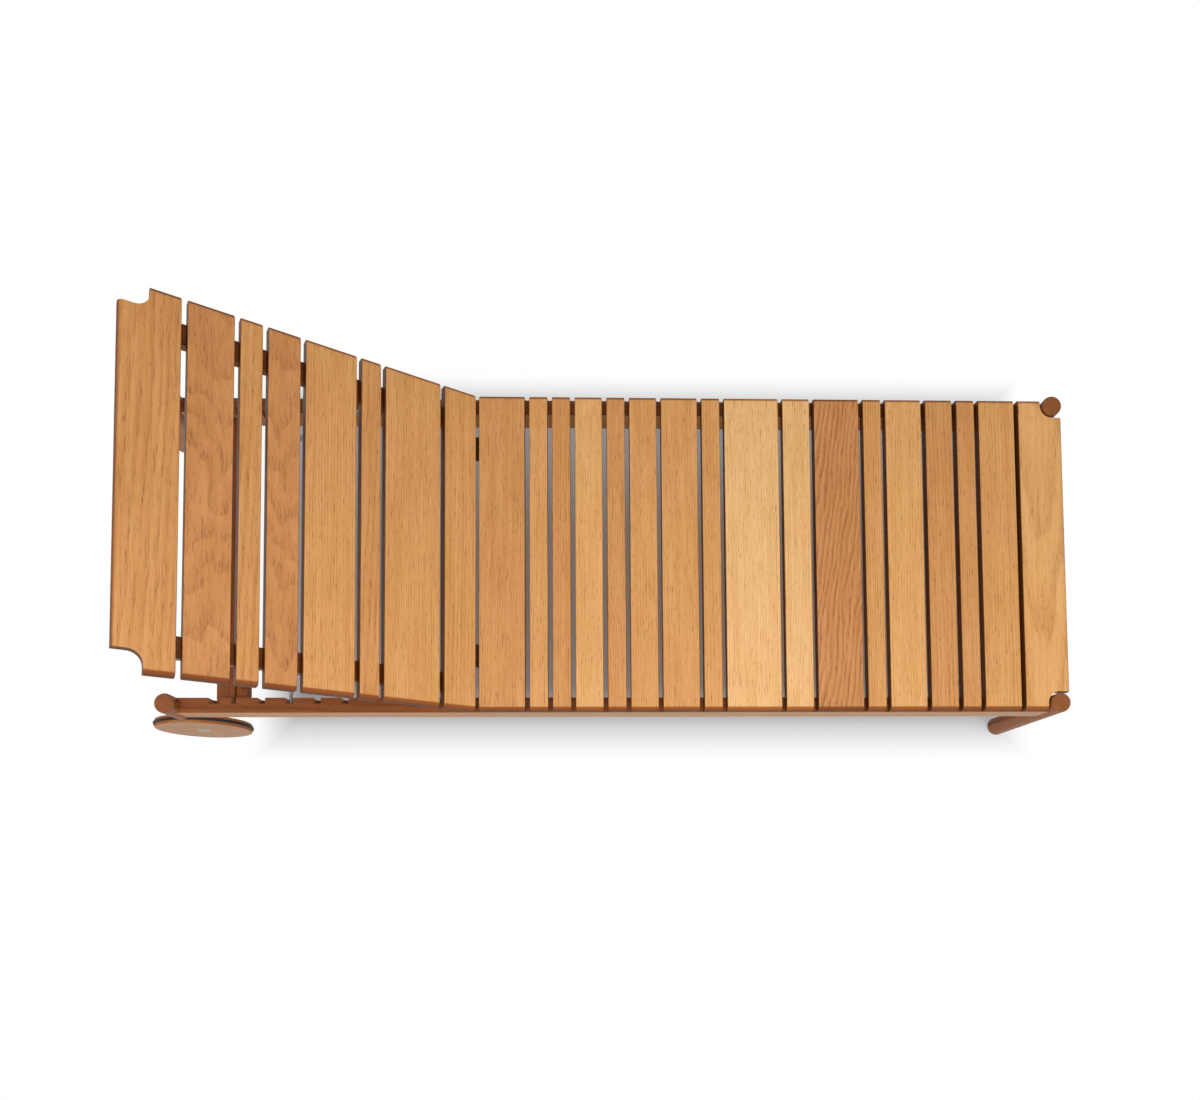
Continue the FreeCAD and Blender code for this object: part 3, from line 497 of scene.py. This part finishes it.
@dataclass(frozen=True)
class Metal:
    """Satin metal with fine brushing and small scuffs.

    Args:
        colour: Screen colour of the clean metal.
        shade: Screen colour where it is dull.
        roughness: Roughness where it is clean.
        brushing: Waves of the brushing on each metre, along the three axes.
    """

    colour: str
    shade: str
    roughness: float = 0.34
    brushing: tuple[float, float, float] = (900.0, 60.0, 900.0)

    def material(self, name: str) -> bpy.types.Material:
        """Build the finish.

        Args:
            name: Name of the material.

        Returns:
            The material.
        """
        recipe = Recipe(name)
        place = recipe.place()
        brushed = recipe.noise(place, Wave(self.brushing, 2.0, 0.6))
        dull = recipe.noise(place, SCUFFS).rise(0.45, 0.75)
        return recipe.surface({
            "Base Color": recipe.blend(dull, srgb(self.colour), srgb(self.shade)),
            "Metallic": 1.0,
            "Roughness": self.roughness + 0.14 * brushed + 0.16 * dull,
            "Normal": recipe.bump(brushed, 0.12, BRUSHED_RELIEF),
        })


@dataclass(frozen=True)
class Moulded:
    """Moulded rubber or plastic with a fine skin and a little dust.

    Args:
        colour: Screen colour.
        dust: Screen colour where dust lies.
        roughness: Roughness of the clean skin.
        skin: Grains of the skin on each metre.
    """

    colour: str
    dust: str
    roughness: float
    skin: float

    def material(self, name: str) -> bpy.types.Material:
        """Build the finish.

        Args:
            name: Name of the material.

        Returns:
            The material.
        """
        recipe = Recipe(name)
        place = recipe.place()
        grain = recipe.noise(place, Wave((self.skin, self.skin, self.skin), 2.0, 0.6))
        dusty = recipe.noise(place, DUST).rise(0.5, 0.8)
        return recipe.surface({
            "Base Color": recipe.blend(dusty * 0.5, srgb(self.colour), srgb(self.dust)),
            "Roughness": self.roughness + 0.2 * dusty,
            "Normal": recipe.bump(grain, 0.2, SKIN_RELIEF),
        })


STEEL = Metal("#b9bfba", "#8f9690")
DARK_BRASS = Metal("#4a3826", "#2c221a", 0.45)
CAP_METAL = Metal("#a5a89b", "#888c80", 0.4, (60.0, 900.0, 900.0))
RUBBER = Moulded("#12141f", "#33343a", 0.62, 1500.0)
PLASTIC = Moulded("#1c1b1a", "#4a4744", 0.5, 900.0)


def dress(node: bpy.types.Object, material: bpy.types.Material) -> None:
    """Give an object one material in place of what it has.

    Args:
        node: The object.
        material: Its only material.
    """
    if not node.material_slots:
        node.data.materials.append(material)
    for slot in node.material_slots:
        slot.link = "OBJECT"
        slot.material = material


# Geometry nodes


class Shaper:
    """Geometry node tree with named inputs, and the mesh that it makes."""

    def __init__(self, name: str, sizes: Mapping[str, float]) -> None:
        """Start a tree.

        Args:
            name: Name of the tree.
            sizes: Named inputs and their values, in metres.
        """
        self.tree = bpy.data.node_groups.new(name, "GeometryNodeTree")
        interface = self.tree.interface
        interface.new_socket("Geometry", in_out="INPUT", socket_type="NodeSocketGeometry")
        interface.new_socket("Geometry", in_out="OUTPUT", socket_type="NodeSocketGeometry")
        self.sizes = dict(sizes)
        self.keys = {size: interface.new_socket(size, in_out="INPUT", socket_type="NodeSocketFloat")
                     .identifier for size in sizes}
        self.start = self.tree.nodes.new("NodeGroupInput")

    def size(self, name: str) -> bpy.types.NodeSocket:
        """Named input of the tree."""
        return self.start.outputs[name]

    def add(self, kind: str, settings: Mapping[str, Any], inputs: Mapping[int | str, Any],
            output: int | str = 0) -> bpy.types.NodeSocket:
        """Add a node: its settings first, and then what its sockets hold or are linked to.

        Args:
            kind: The node's type.
            settings: The node's own properties by name.
            inputs: Values or links by socket name or place.
            output: The output socket that is wanted.

        Returns:
            That output.
        """
        made = self.tree.nodes.new(kind)
        for name, setting in settings.items():
            setattr(made, name, setting)
        for key, given in inputs.items():
            if isinstance(given, bpy.types.NodeSocket):
                self.tree.links.new(given, made.inputs[key])
            else:
                made.inputs[key].default_value = given
        return made.outputs[output]

    def math(self, operation: str, first: Any, second: Any = 0.0) -> bpy.types.NodeSocket:
        """Number from one or two numbers."""
        return self.add("ShaderNodeMath", {"operation": operation}, {0: first, 1: second})

    def vector(self, x: Any = 0.0, y: Any = 0.0, z: Any = 0.0) -> bpy.types.NodeSocket:
        """Vector from three numbers."""
        return self.add("ShaderNodeCombineXYZ", {}, {0: x, 1: y, 2: z})

    def moved(self, shape: Any, shift: Any, turn: Any = (0.0, 0.0, 0.0)) -> bpy.types.NodeSocket:
        """Shape after a turn and a shift."""
        return self.add("GeometryNodeTransform", {},
                        {"Geometry": shape, "Translation": shift, "Rotation": turn})

    def pushed(self, shape: Any, faces: Any,
               height: Any) -> tuple[bpy.types.NodeSocket, bpy.types.NodeSocket]:
        """Push some faces of a shape outwards.

        Args:
            shape: The shape.
            faces: Choice of its faces.
            height: Way that they go, in metres.

        Returns:
            The new shape, and the choice of the pushed faces.
        """
        mesh = self.add("GeometryNodeExtrudeMesh", {},
                        {"Mesh": shape, "Selection": faces, "Offset Scale": height}, "Mesh")
        return mesh, mesh.node.outputs["Top"]

    def scaled(self, shape: Any, faces: Any, scale: float) -> bpy.types.NodeSocket:
        """Shape with some of its faces scaled about their own middle.

        Args:
            shape: The shape.
            faces: Choice of its faces.
            scale: Their new size, as a share of the old one.

        Returns:
            The new shape.
        """
        return self.add("GeometryNodeScaleElements", {"domain": "FACE"},
                        {"Geometry": shape, "Selection": faces, "Scale": scale})

    def rod(self, sides: int, radius: Any, length: Any) -> bpy.types.NodeSocket:
        """Closed upright rod that stands on the ground of its own frame.

        Args:
            sides: Number of its sides.
            radius: Its radius.
            length: Its length.

        Returns:
            The rod.
        """
        made = self.add("GeometryNodeMeshCylinder", {"fill_type": "NGON"},
                        {"Vertices": sides, "Side Segments": 1, "Radius": radius, "Depth": length},
                        "Mesh")
        return self.moved(made, self.vector(z=self.math("MULTIPLY", length, 0.5)))

    def together(self, shapes: Iterable[bpy.types.NodeSocket]) -> bpy.types.NodeSocket:
        """All the shapes as one.

        Args:
            shapes: The shapes.

        Returns:
            One shape that holds them.
        """
        made = self.tree.nodes.new("GeometryNodeJoinGeometry")
        for shape in shapes:
            self.tree.links.new(shape, made.inputs[0])
        return made.outputs[0]

    def mesh(self, name: str, shape: bpy.types.NodeSocket, points: Sequence[Vector],
             material: bpy.types.Material) -> bpy.types.Object:
        """Run the tree and keep its result as a plain mesh.

        Args:
            name: Name of the piece.
            shape: What the tree makes.
            points: Points that the tree starts from.
            material: Finish of the piece.

        Returns:
            The piece, at the origin.
        """
        real = self.add("GeometryNodeRealizeInstances", {}, {"Geometry": shape})
        smooth = self.add("GeometryNodeSetShadeSmooth", {}, {"Geometry": real, "Shade Smooth": False})
        dressed = self.add("GeometryNodeSetMaterial", {}, {"Geometry": smooth, "Material": material})
        end = self.tree.nodes.new("NodeGroupOutput")
        self.tree.links.new(dressed, end.inputs[0])
        seed = bpy.data.meshes.new(name + "_points")
        seed.from_pydata(list(points), [], [])
        holder = bpy.data.objects.new(name + "_holder", seed)
        bpy.context.scene.collection.objects.link(holder)
        modifier = holder.modifiers.new("shape", "NODES")
        modifier.node_group = self.tree
        for size, key in self.keys.items():
            modifier[key] = self.sizes[size]
        graph = bpy.context.evaluated_depsgraph_get()
        made = bpy.data.meshes.new_from_object(holder.evaluated_get(graph))
        holder.modifiers.remove(modifier)
        bpy.data.objects.remove(holder)
        piece = bpy.data.objects.new(name, made)
        bpy.context.scene.collection.objects.link(piece)
        return piece


def islands(node: bpy.types.Object) -> list[list[Vector]]:
    """Corners of each separate solid in a node, in order along the lounger.

    Args:
        node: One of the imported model's nodes.

    Returns:
        A list of corners for each solid.
    """
    shape = bmesh.new()
    shape.from_mesh(node.data)
    bmesh.ops.remove_doubles(shape, verts=shape.verts[:], dist=SAME_PLACE)
    waiting = set(shape.verts)
    found = []
    while waiting:
        group = {waiting.pop()}
        edge = set(group)
        while edge:
            edge = {link.other_vert(corner) for corner in edge for link in corner.link_edges} - group
            group |= edge
        waiting -= group
        found.append(sorted((corner.co.copy() for corner in group), key=tuple))
    shape.free()
    return sorted(found, key=lambda corners: tuple(corners[0]))


# The lounger's parts


@dataclass
class Boards:
    """Slats of the seat and of the back, each a board of its own with its own tone and figure.

    Args:
        seat_tones: First letters of the seat slats' tones, from the hinge line outwards.
        back_tones: First letters of the back slats' tones, from the hinge line outwards.
        lively: Strength of the growth lines on the boards where they are strong.
        arched: Boards cut near the middle of the log, with arched growth lines.
        figure: Strength of the growth lines on the other boards.
        depth: Least distance from a board to the middle of its log, in metres.
        depth_step: Step from one depth to the next, in metres.
        depths: Number of depths, which come round in turn.
        lean: Least slope of the fibres.
        lean_step: Step from one slope to the next.
        leans: Number of slopes, which come round in turn.
        painted_light_share: Strength of the painted shade on the slats' upright faces in the gaps.
    """

    seat_tones: str = "AHAGAHHHSSRHGAAHG"
    back_tones: str = "HHAHRARA"
    lively: Mapping[str, float] = field(default_factory=lambda: {
        "seat_slat_10": 0.5, "seat_slat_11": 0.75, "seat_slat_12": 0.6, "foot_end_slat": 0.5})
    arched: tuple[str, ...] = ("seat_slat_11", "back_slat_05", "back_slat_07")
    figure: float = 0.35
    depth: float = 0.02
    depth_step: float = 0.012
    depths: int = 4
    lean: float = 0.006
    lean_step: float = 0.006
    leans: int = 3
    # Painted shade on the slats' sides, which face the dark gaps
    painted_light_share: float = 0.7

    def names(self) -> list[tuple[str, str]]:
        """Name and tone letter of every slat, from the hinge line outwards.

        Returns:
            The seat's slats and then the back's.
        """
        seat = ["seat_slat_%02d" % at for at in range(1, len(self.seat_tones))] + ["foot_end_slat"]
        back = ["back_slat_%02d" % at for at in range(1, len(self.back_tones))] + ["head_end_slat"]
        return list(zip(seat, self.seat_tones)) + list(zip(back, self.back_tones))

    def dress(self, nodes: Mapping[str, bpy.types.Object]) -> None:
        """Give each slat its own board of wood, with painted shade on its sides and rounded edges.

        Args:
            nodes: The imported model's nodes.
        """
        tones = {tone.name[0]: tone for tone in
                 (Tone.STRAW, Tone.GOLD, Tone.HONEY, Tone.AMBER, Tone.RUSSET)}
        for number, (name, letter) in enumerate(self.names(), 1):
            low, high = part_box(name)
            wood = Wood(tones[letter], Grain.ACROSS, number,
                        figure=self.lively.get(name, self.figure),
                        depth=self.depth + self.depth_step * (number % self.depths),
                        lean=self.lean + self.lean_step * (number % self.leans),
                        painted_light_share=self.painted_light_share,
                        tilt=0.0 if number <= len(self.seat_tones) else RECLINE)
            if name in self.arched:
                wood = replace(wood, depth=0.035, lean=0.05, wobble=0.02, aside=0.01)
            dress(nodes[name], wood.material(name + "_wood", (low + high) / 2))
            LOG.info("dressed %s", name)


@dataclass
class Timber:
    """Rails, legs, battens, dowels and the wheels' discs.

    Args:
        woods: Wood of each kind of node, by the start of its name.
        rail_shift: Way along the log from the left side rail to the right one, in metres.
    """

    woods: Mapping[str, Wood] = field(default_factory=lambda: {
        # Side rails: pale painted reflection on upright faces, painted shade on rounded edges
        "side_rail": Wood(Tone.FRAME, Grain.ALONG, 31, side="#c4915f", painted_light_share=0.8),
        "head_cross_rail": Wood(Tone.FRAME, Grain.ACROSS, 33, 0.5),
        "hinge_cross_rail": Wood(Tone.FRAME, Grain.ACROSS, 34, 0.5),
        "foot_cross_rail": Wood(Tone.FRAME, Grain.ACROSS, 35, 0.5),
        "back_batten": Wood(Tone.FRAME, Grain.BACKREST, 36, 0.5),
        "foot_leg": Wood(Tone.LEG, Grain.UPRIGHT, 37, 0.9, depth=0.01, lean=0.0, wobble=0.002,
                         aside=0.008, end_share=0.4),
        "head_leg": Wood(Tone.LEG, Grain.UPRIGHT, 38, 0.9, depth=0.012, lean=0.0, wobble=0.002,
                         aside=0.006, end_share=0.1),
        "frame_dowels": Wood(Tone.DOWEL, Grain.ACROSS, 39, 0.3),
        "wheel_outer_disc": Wood(Tone.WHEEL, Grain.ALONG, 40, 0.5),
        "wheel_inner_disc": Wood(Tone.WHEEL, Grain.ALONG, 41, 0.5),
    })
    rail_shift: float = 0.37

    def dress(self, nodes: Mapping[str, bpy.types.Object]) -> None:
        """Give each of these nodes the wood of its kind, cut from its own place in the log.

        Args:
            nodes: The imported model's nodes.
        """
        for name, node in nodes.items():
            for kind, wood in self.woods.items():
                if name.startswith(kind):
                    low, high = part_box(name)
                    middle = (low + high) / 2
                    if name == "side_rail_right":
                        middle += Vector((0.0, 0.0, self.rail_shift))
                    dress(node, wood.material(name + "_wood", middle))
                    LOG.info("dressed %s", name)


@dataclass
class Hardware:
    """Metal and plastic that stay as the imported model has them."""

    finishes: Mapping[str, Metal | Moulded] = field(default_factory=lambda: {
        "seat_hinge_leaves": DARK_BRASS,
        "back_hinge_leaves": DARK_BRASS,
        "hinge_pins": STEEL,
        "prop_arm": STEEL,
        "prop_rod": STEEL,
        "prop_pivot_bolts": STEEL,
        "axle_bolts": STEEL,
        "hub_cap": CAP_METAL,
        "wheel_bush": PLASTIC,
        "foot_glides": PLASTIC,
    })

    def dress(self, nodes: Mapping[str, bpy.types.Object]) -> None:
        """Give each of these nodes its metal or plastic.

        Args:
            nodes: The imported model's nodes.
        """
        for name, node in nodes.items():
            for kind, finish in self.finishes.items():
                if name.startswith(kind):
                    dress(node, finish.material(name + "_finish"))
                    LOG.info("dressed %s", name)


@dataclass
class Screws:
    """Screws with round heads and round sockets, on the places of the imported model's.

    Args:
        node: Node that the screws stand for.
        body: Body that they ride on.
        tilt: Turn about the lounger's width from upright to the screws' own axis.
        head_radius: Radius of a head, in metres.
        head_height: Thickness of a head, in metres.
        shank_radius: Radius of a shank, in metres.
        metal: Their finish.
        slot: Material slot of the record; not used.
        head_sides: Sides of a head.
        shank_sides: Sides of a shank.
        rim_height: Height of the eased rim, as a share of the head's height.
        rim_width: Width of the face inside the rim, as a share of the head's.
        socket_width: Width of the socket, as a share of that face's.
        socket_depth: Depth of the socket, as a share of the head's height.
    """

    node: str
    body: str
    tilt: float
    head_radius: float
    head_height: float
    shank_radius: float
    metal: Metal
    slot: str
    head_sides: int = 24
    shank_sides: int = 10
    rim_height: float = 0.18
    rim_width: float = 0.9
    socket_width: float = 0.55
    socket_depth: float = 0.6

    def seats(self, source: bpy.types.Object) -> tuple[list[Vector], float]:
        """Middle of each head's underside, and the length of a whole screw.

        Args:
            source: Node that the screws stand for.

        Returns:
            The places and the length, in metres.
        """
        axis = Matrix.Rotation(self.tilt, 3, "Y") @ Vector((0.0, 0.0, 1.0))
        places = []
        length = 0.0
        for corners in islands(source):
            middle = sum(corners, Vector()) / len(corners)
            reaches = [(corner - middle).dot(axis) for corner in corners]
            places.append(middle + axis * min(reaches))
            length = max(length, max(reaches) - min(reaches))
        return places, length

    def build(self, nodes: Mapping[str, bpy.types.Object]) -> bpy.types.Object:
        """Make the screws with geometry nodes.

        Args:
            nodes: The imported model's nodes.

        Returns:
            One piece that holds every screw.
        """
        places, length = self.seats(nodes[self.node])
        shaper = Shaper(self.node + "_shape", {
            "Head radius": self.head_radius,
            "Head height": self.head_height,
            "Shank radius": self.shank_radius,
            "Shank length": length - self.head_height,
        })
        radius, height = shaper.size("Head radius"), shaper.size("Head height")
        head = self.socket_head(shaper, radius, height)
        shank = shaper.rod(self.shank_sides, shaper.size("Shank radius"), shaper.size("Shank length"))
        shank = shaper.moved(shank, shaper.vector(z=height))
        screw = shaper.together([head, shank])
        stood = shaper.add("GeometryNodeInstanceOnPoints", {}, {
            "Points": shaper.start.outputs["Geometry"], "Instance": screw,
            "Rotation": (0.0, self.tilt, 0.0)})
        piece = shaper.mesh(self.node + "_heads", stood, places, self.metal.material(self.node + "_metal"))
        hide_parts(self.node)
        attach(piece, self.body)
        LOG.info("built %s, %d screws", piece.name, len(places))
        return piece

    def socket_head(self, shaper: Shaper, radius: Any, height: Any) -> bpy.types.NodeSocket:
        """Round head with an eased rim and a socket in its underside.

        Args:
            shaper: Tree that the head is made in.
            radius: Radius of the head.
            height: Thickness of the head.

        Returns:
            The head, standing on its outer face.
        """
        body = shaper.rod(self.head_sides, radius, height)
        facing = shaper.add("GeometryNodeInputNormal", {}, {})
        down = shaper.add("ShaderNodeSeparateXYZ", {}, {0: facing}, "Z")
        outer = shaper.add("FunctionNodeCompare", {"data_type": "FLOAT", "operation": "LESS_THAN"},
                           {0: down, 1: STRAIGHT_DOWN})
        rim = shaper.math("MULTIPLY", height, self.rim_height)
        raised, face = shaper.pushed(body, outer, rim)
        flat, inner = shaper.pushed(shaper.scaled(raised, face, self.rim_width), face, 0.0)
        depth = shaper.math("MULTIPLY", height, -self.socket_depth)
        sunk, _ = shaper.pushed(shaper.scaled(flat, inner, self.socket_width), inner, depth)
        return shaper.moved(sunk, shaper.vector(z=rim))


@dataclass
class WheelRing:
    """Rubber ring of one wheel, with rounded edges.

    Args:
        side: left or right.
        core: Radius of the wooden core that it sits on, in metres.
        rounding: Rounding of its edges, in metres.
        steps: Steps of the ring round the axle.
        corner_steps: Steps of each rounding.
    """

    side: str
    core: float = 0.08
    rounding: float = 0.001
    steps: int = 128
    corner_steps: int = 4

    def build(self, nodes: Mapping[str, bpy.types.Object]) -> bpy.types.Object:
        """Sweep the ring's section round the axle.

        Args:
            nodes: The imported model's nodes.

        Returns:
            The ring.
        """
        name = "wheel_ring_" + self.side
        low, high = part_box(name)
        middle = (low + high) / 2
        outer = (high.x - low.x) / 2
        shaper = Shaper(name + "_shape", {
            "Outer radius": outer,
            "Core radius": self.core,
            "Thickness": high.y - low.y,
            "Rounding": self.rounding,
        })
        depth = shaper.math("SUBTRACT", shaper.size("Outer radius"), shaper.size("Core radius"))
        section = shaper.add("GeometryNodeCurvePrimitiveQuadrilateral", {"mode": "RECTANGLE"},
                             {"Width": depth, "Height": shaper.size("Thickness")})
        eased = shaper.add("GeometryNodeFilletCurve", {"mode": "POLY"}, {
            "Curve": section, "Radius": shaper.size("Rounding"), "Count": self.corner_steps})
        half = shaper.math("MULTIPLY", depth, 0.5)
        way = shaper.add("GeometryNodeCurvePrimitiveCircle", {"mode": "RADIUS"}, {
            "Resolution": self.steps,
            "Radius": shaper.math("SUBTRACT", shaper.size("Outer radius"), half)})
        ring = shaper.add("GeometryNodeCurveToMesh", {}, {"Curve": way, "Profile Curve": eased})
        stood = shaper.moved(ring, tuple(middle), (math.radians(90), 0.0, 0.0))
        piece = shaper.mesh("tread_" + self.side, stood, [Vector()], RUBBER.material(name + "_rubber"))
        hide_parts(name)
        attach(piece, "wheel_" + self.side)
        LOG.info("built %s", piece.name)
        return piece


@dataclass
class RodTips:
    """Ends of the prop rod, which stand in the notches of the side rails.

    Args:
        reach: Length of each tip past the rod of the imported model, in metres.
        sides: Sides of a tip.
    """

    reach: float = 0.0115
    sides: int = 32

    def build(self) -> bpy.types.Object:
        """Make both tips with geometry nodes.

        Returns:
            One piece that holds the tips.
        """
        low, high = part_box("prop_rod")
        middle = (low + high) / 2
        shaper = Shaper("rod_tips_shape", {
            "Radius": (high.z - low.z) / 2, "Length": self.reach, "Half rod": high.y})
        tip = shaper.rod(self.sides, shaper.size("Radius"), shaper.size("Length"))
        pair = [shaper.moved(shaper.moved(tip, shaper.vector(z=shaper.size("Half rod"))),
                             tuple(middle), (math.radians(-90) * side, 0.0, 0.0))
                for side in (1, -1)]
        piece = shaper.mesh("prop_rod_tips", shaper.together(pair), [Vector()],
                            STEEL.material("rod_tips_steel"))
        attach(piece, "prop")
        LOG.info("built %s", piece.name)
        return piece


# Camera, floor and light


@dataclass
class Studio:
    """White floor, even soft light, and the camera that took the picture.

    Args:
        eye: Place of the camera, in metres.
        turn: Turn of the camera about the three axes, in degrees.
        lens: Focal length, in millimetres on a sensor 36 mm wide.
        shift: Shift of the lens sideways and upwards, as a share of the picture's width.
        sky: Strength of the sky's light.
        lamp_power: Power of the lamp, in watts.
        lamp_place: Place of the lamp, in metres.
        lamp_size: Length and width of the lamp, in metres.
        lamp_turn: Turn of the lamp about the lounger's length, in degrees.
        floor_size: Side of the floor, in metres.
        floor_plain: Colour of the floor as the lounger sees it.
        floor_shade: Colour of the floor as the camera sees it near the lounger.
        shade_shift: Shift of the shaded floor towards the foot end and the far side, in metres.
        shadow_reach: Distances past the lounger's edge between which the shade fades, in metres.
    """

    eye: tuple[float, float, float] = (-0.035, -0.7121, 2.136)
    turn: tuple[float, float, float] = (2.704, -1.533, -0.369)
    lens: float = 25.63
    shift: tuple[float, float] = (-0.0062, 0.2395)
    sky: float = 0.54
    lamp_power: float = 91.0
    lamp_place: tuple[float, float, float] = (0.0, -1.3, 3.0)
    lamp_size: tuple[float, float] = (4.2, 1.6)
    lamp_turn: float = -22.0
    floor_size: float = 30.0
    floor_plain: tuple[float, float, float, float] = (0.8, 0.8, 0.8, 1.0)
    floor_shade: tuple[float, float, float, float] = (0.59, 0.615, 0.65, 1.0)
    shade_shift: tuple[float, float] = (0.12, 0.08)
    shadow_reach: tuple[float, float] = (-0.075, 0.07)

    def build(self) -> None:
        """Make the camera, the sky, the lamp and the floor."""
        self.camera()
        self.light()
        self.floor()
        bpy.context.scene.view_settings.view_transform = "Standard"
        LOG.info("built the studio")

    def camera(self) -> None:
        """Camera nearly straight above the lounger."""
        camera = bpy.data.objects.new("camera", bpy.data.cameras.new("camera"))
        camera.data.sensor_width = 36.0
        camera.data.lens = self.lens
        camera.data.shift_x, camera.data.shift_y = self.shift
        camera.location = self.eye
        camera.rotation_euler = [math.radians(angle) for angle in self.turn]
        bpy.context.scene.collection.objects.link(camera)
        bpy.context.scene.camera = camera

    def light(self) -> None:
        """Pale sky all round, and one long soft lamp above the near side."""
        world = bpy.data.worlds.new("sky")
        world.use_nodes = True
        tree = world.node_tree
        tree.nodes.clear()
        path = tree.nodes.new("ShaderNodeLightPath")
        seen = tree.nodes.new("ShaderNodeMath")
        seen.operation = "MAXIMUM"
        tree.links.new(path.outputs["Is Camera Ray"], seen.inputs[0])
        tree.links.new(path.outputs["Is Transmission Ray"], seen.inputs[1])
        level = tree.nodes.new("ShaderNodeMapRange")
        level.inputs["To Min"].default_value = self.sky
        level.inputs["To Max"].default_value = 1.0
        tree.links.new(seen.outputs[0], level.inputs["Value"])
        background = tree.nodes.new("ShaderNodeBackground")
        background.inputs["Color"].default_value = (1.0, 1.0, 1.0, 1.0)
        tree.links.new(level.outputs["Result"], background.inputs["Strength"])
        output = tree.nodes.new("ShaderNodeOutputWorld")
        tree.links.new(background.outputs[0], output.inputs["Surface"])
        bpy.context.scene.world = world
        lamp = bpy.data.objects.new("lamp", bpy.data.lights.new("lamp", "AREA"))
        lamp.data.shape = "RECTANGLE"
        lamp.data.size, lamp.data.size_y = self.lamp_size
        lamp.data.energy = self.lamp_power
        lamp.location = self.lamp_place
        lamp.rotation_euler = (math.radians(self.lamp_turn), 0.0, 0.0)
        lamp.visible_camera = False
        bpy.context.scene.collection.objects.link(lamp)

    def floor(self) -> None:
        """Large white floor under the lounger."""
        half = self.floor_size / 2
        mesh = bpy.data.meshes.new("floor")
        mesh.from_pydata([(-half, -half, 0), (half, -half, 0), (half, half, 0), (-half, half, 0)],
                         [], [(0, 1, 2, 3)])
        floor = bpy.data.objects.new("floor", mesh)
        bpy.context.scene.collection.objects.link(floor)
        floor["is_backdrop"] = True
        floor.data.materials.append(self.floor_white())

    def floor_white(self) -> bpy.types.Material:
        """Make the floor's white, which the camera sees as shade near the lounger and pure further out.

        Returns:
            The material.
        """
        recipe = Recipe("floor_white")
        path = recipe.node("ShaderNodeLightPath", {}, {}, "Is Camera Ray")
        rays = path.socket.node.outputs
        seen = path.most(Value(recipe, rays["Is Glossy Ray"]))
        seen = seen.most(Value(recipe, rays["Is Transmission Ray"]))
        along, across, _ = recipe.axes(recipe.place())
        low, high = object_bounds()
        past_end = abs(along - self.shade_shift[0]) - (high[0] - self.shade_shift[0])
        past_side = abs(across - self.shade_shift[1]) - (high[1] + self.shade_shift[1])
        open_floor = past_end.most(past_side).rise(*self.shadow_reach)
        plain = recipe.node("ShaderNodeBsdfDiffuse", {}, {"Color": self.floor_plain})
        # Painted shade: near the lounger the camera sees this darker floor colour, fading to white
        shaded = recipe.node("ShaderNodeBsdfDiffuse", {}, {"Color": self.floor_shade})
        white = recipe.node("ShaderNodeEmission", {}, {"Strength": 1.0})
        near = recipe.node("ShaderNodeMixShader", {}, {0: open_floor, 1: shaded, 2: white})
        mixed = recipe.node("ShaderNodeMixShader", {}, {0: seen, 1: plain, 2: near})
        recipe.node("ShaderNodeOutputMaterial", {}, {"Surface": mixed})
        return recipe.material


def main() -> None:
    """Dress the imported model, add the Blender pieces and set up the picture."""
    logging.basicConfig(level=logging.INFO, format="%(message)s")
    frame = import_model()
    nodes = frame["nodes"]
    Boards().dress(nodes)
    Timber().dress(nodes)
    Hardware().dress(nodes)
    screws = [
        Screws("seat_slat_screws", "base", 0.0, 0.0045, 0.003, 0.0025, STEEL, "steel"),
        Screws("back_slat_screws", "back", RECLINE, 0.0045, 0.003, 0.0025, STEEL, "steel"),
        Screws("seat_hinge_screws", "base", math.radians(90), 0.003, 0.001, 0.0015, DARK_BRASS,
               "hinge_metal"),
        Screws("back_hinge_screws", "back", RECLINE - math.radians(90), 0.003, 0.001, 0.0015,
               DARK_BRASS, "hinge_metal"),
    ]
    for group in screws:
        group.build(nodes)
    for side in ("left", "right"):
        WheelRing(side).build(nodes)
    RodTips().build()
    Studio().build()


if __name__ == "__main__":
    main()
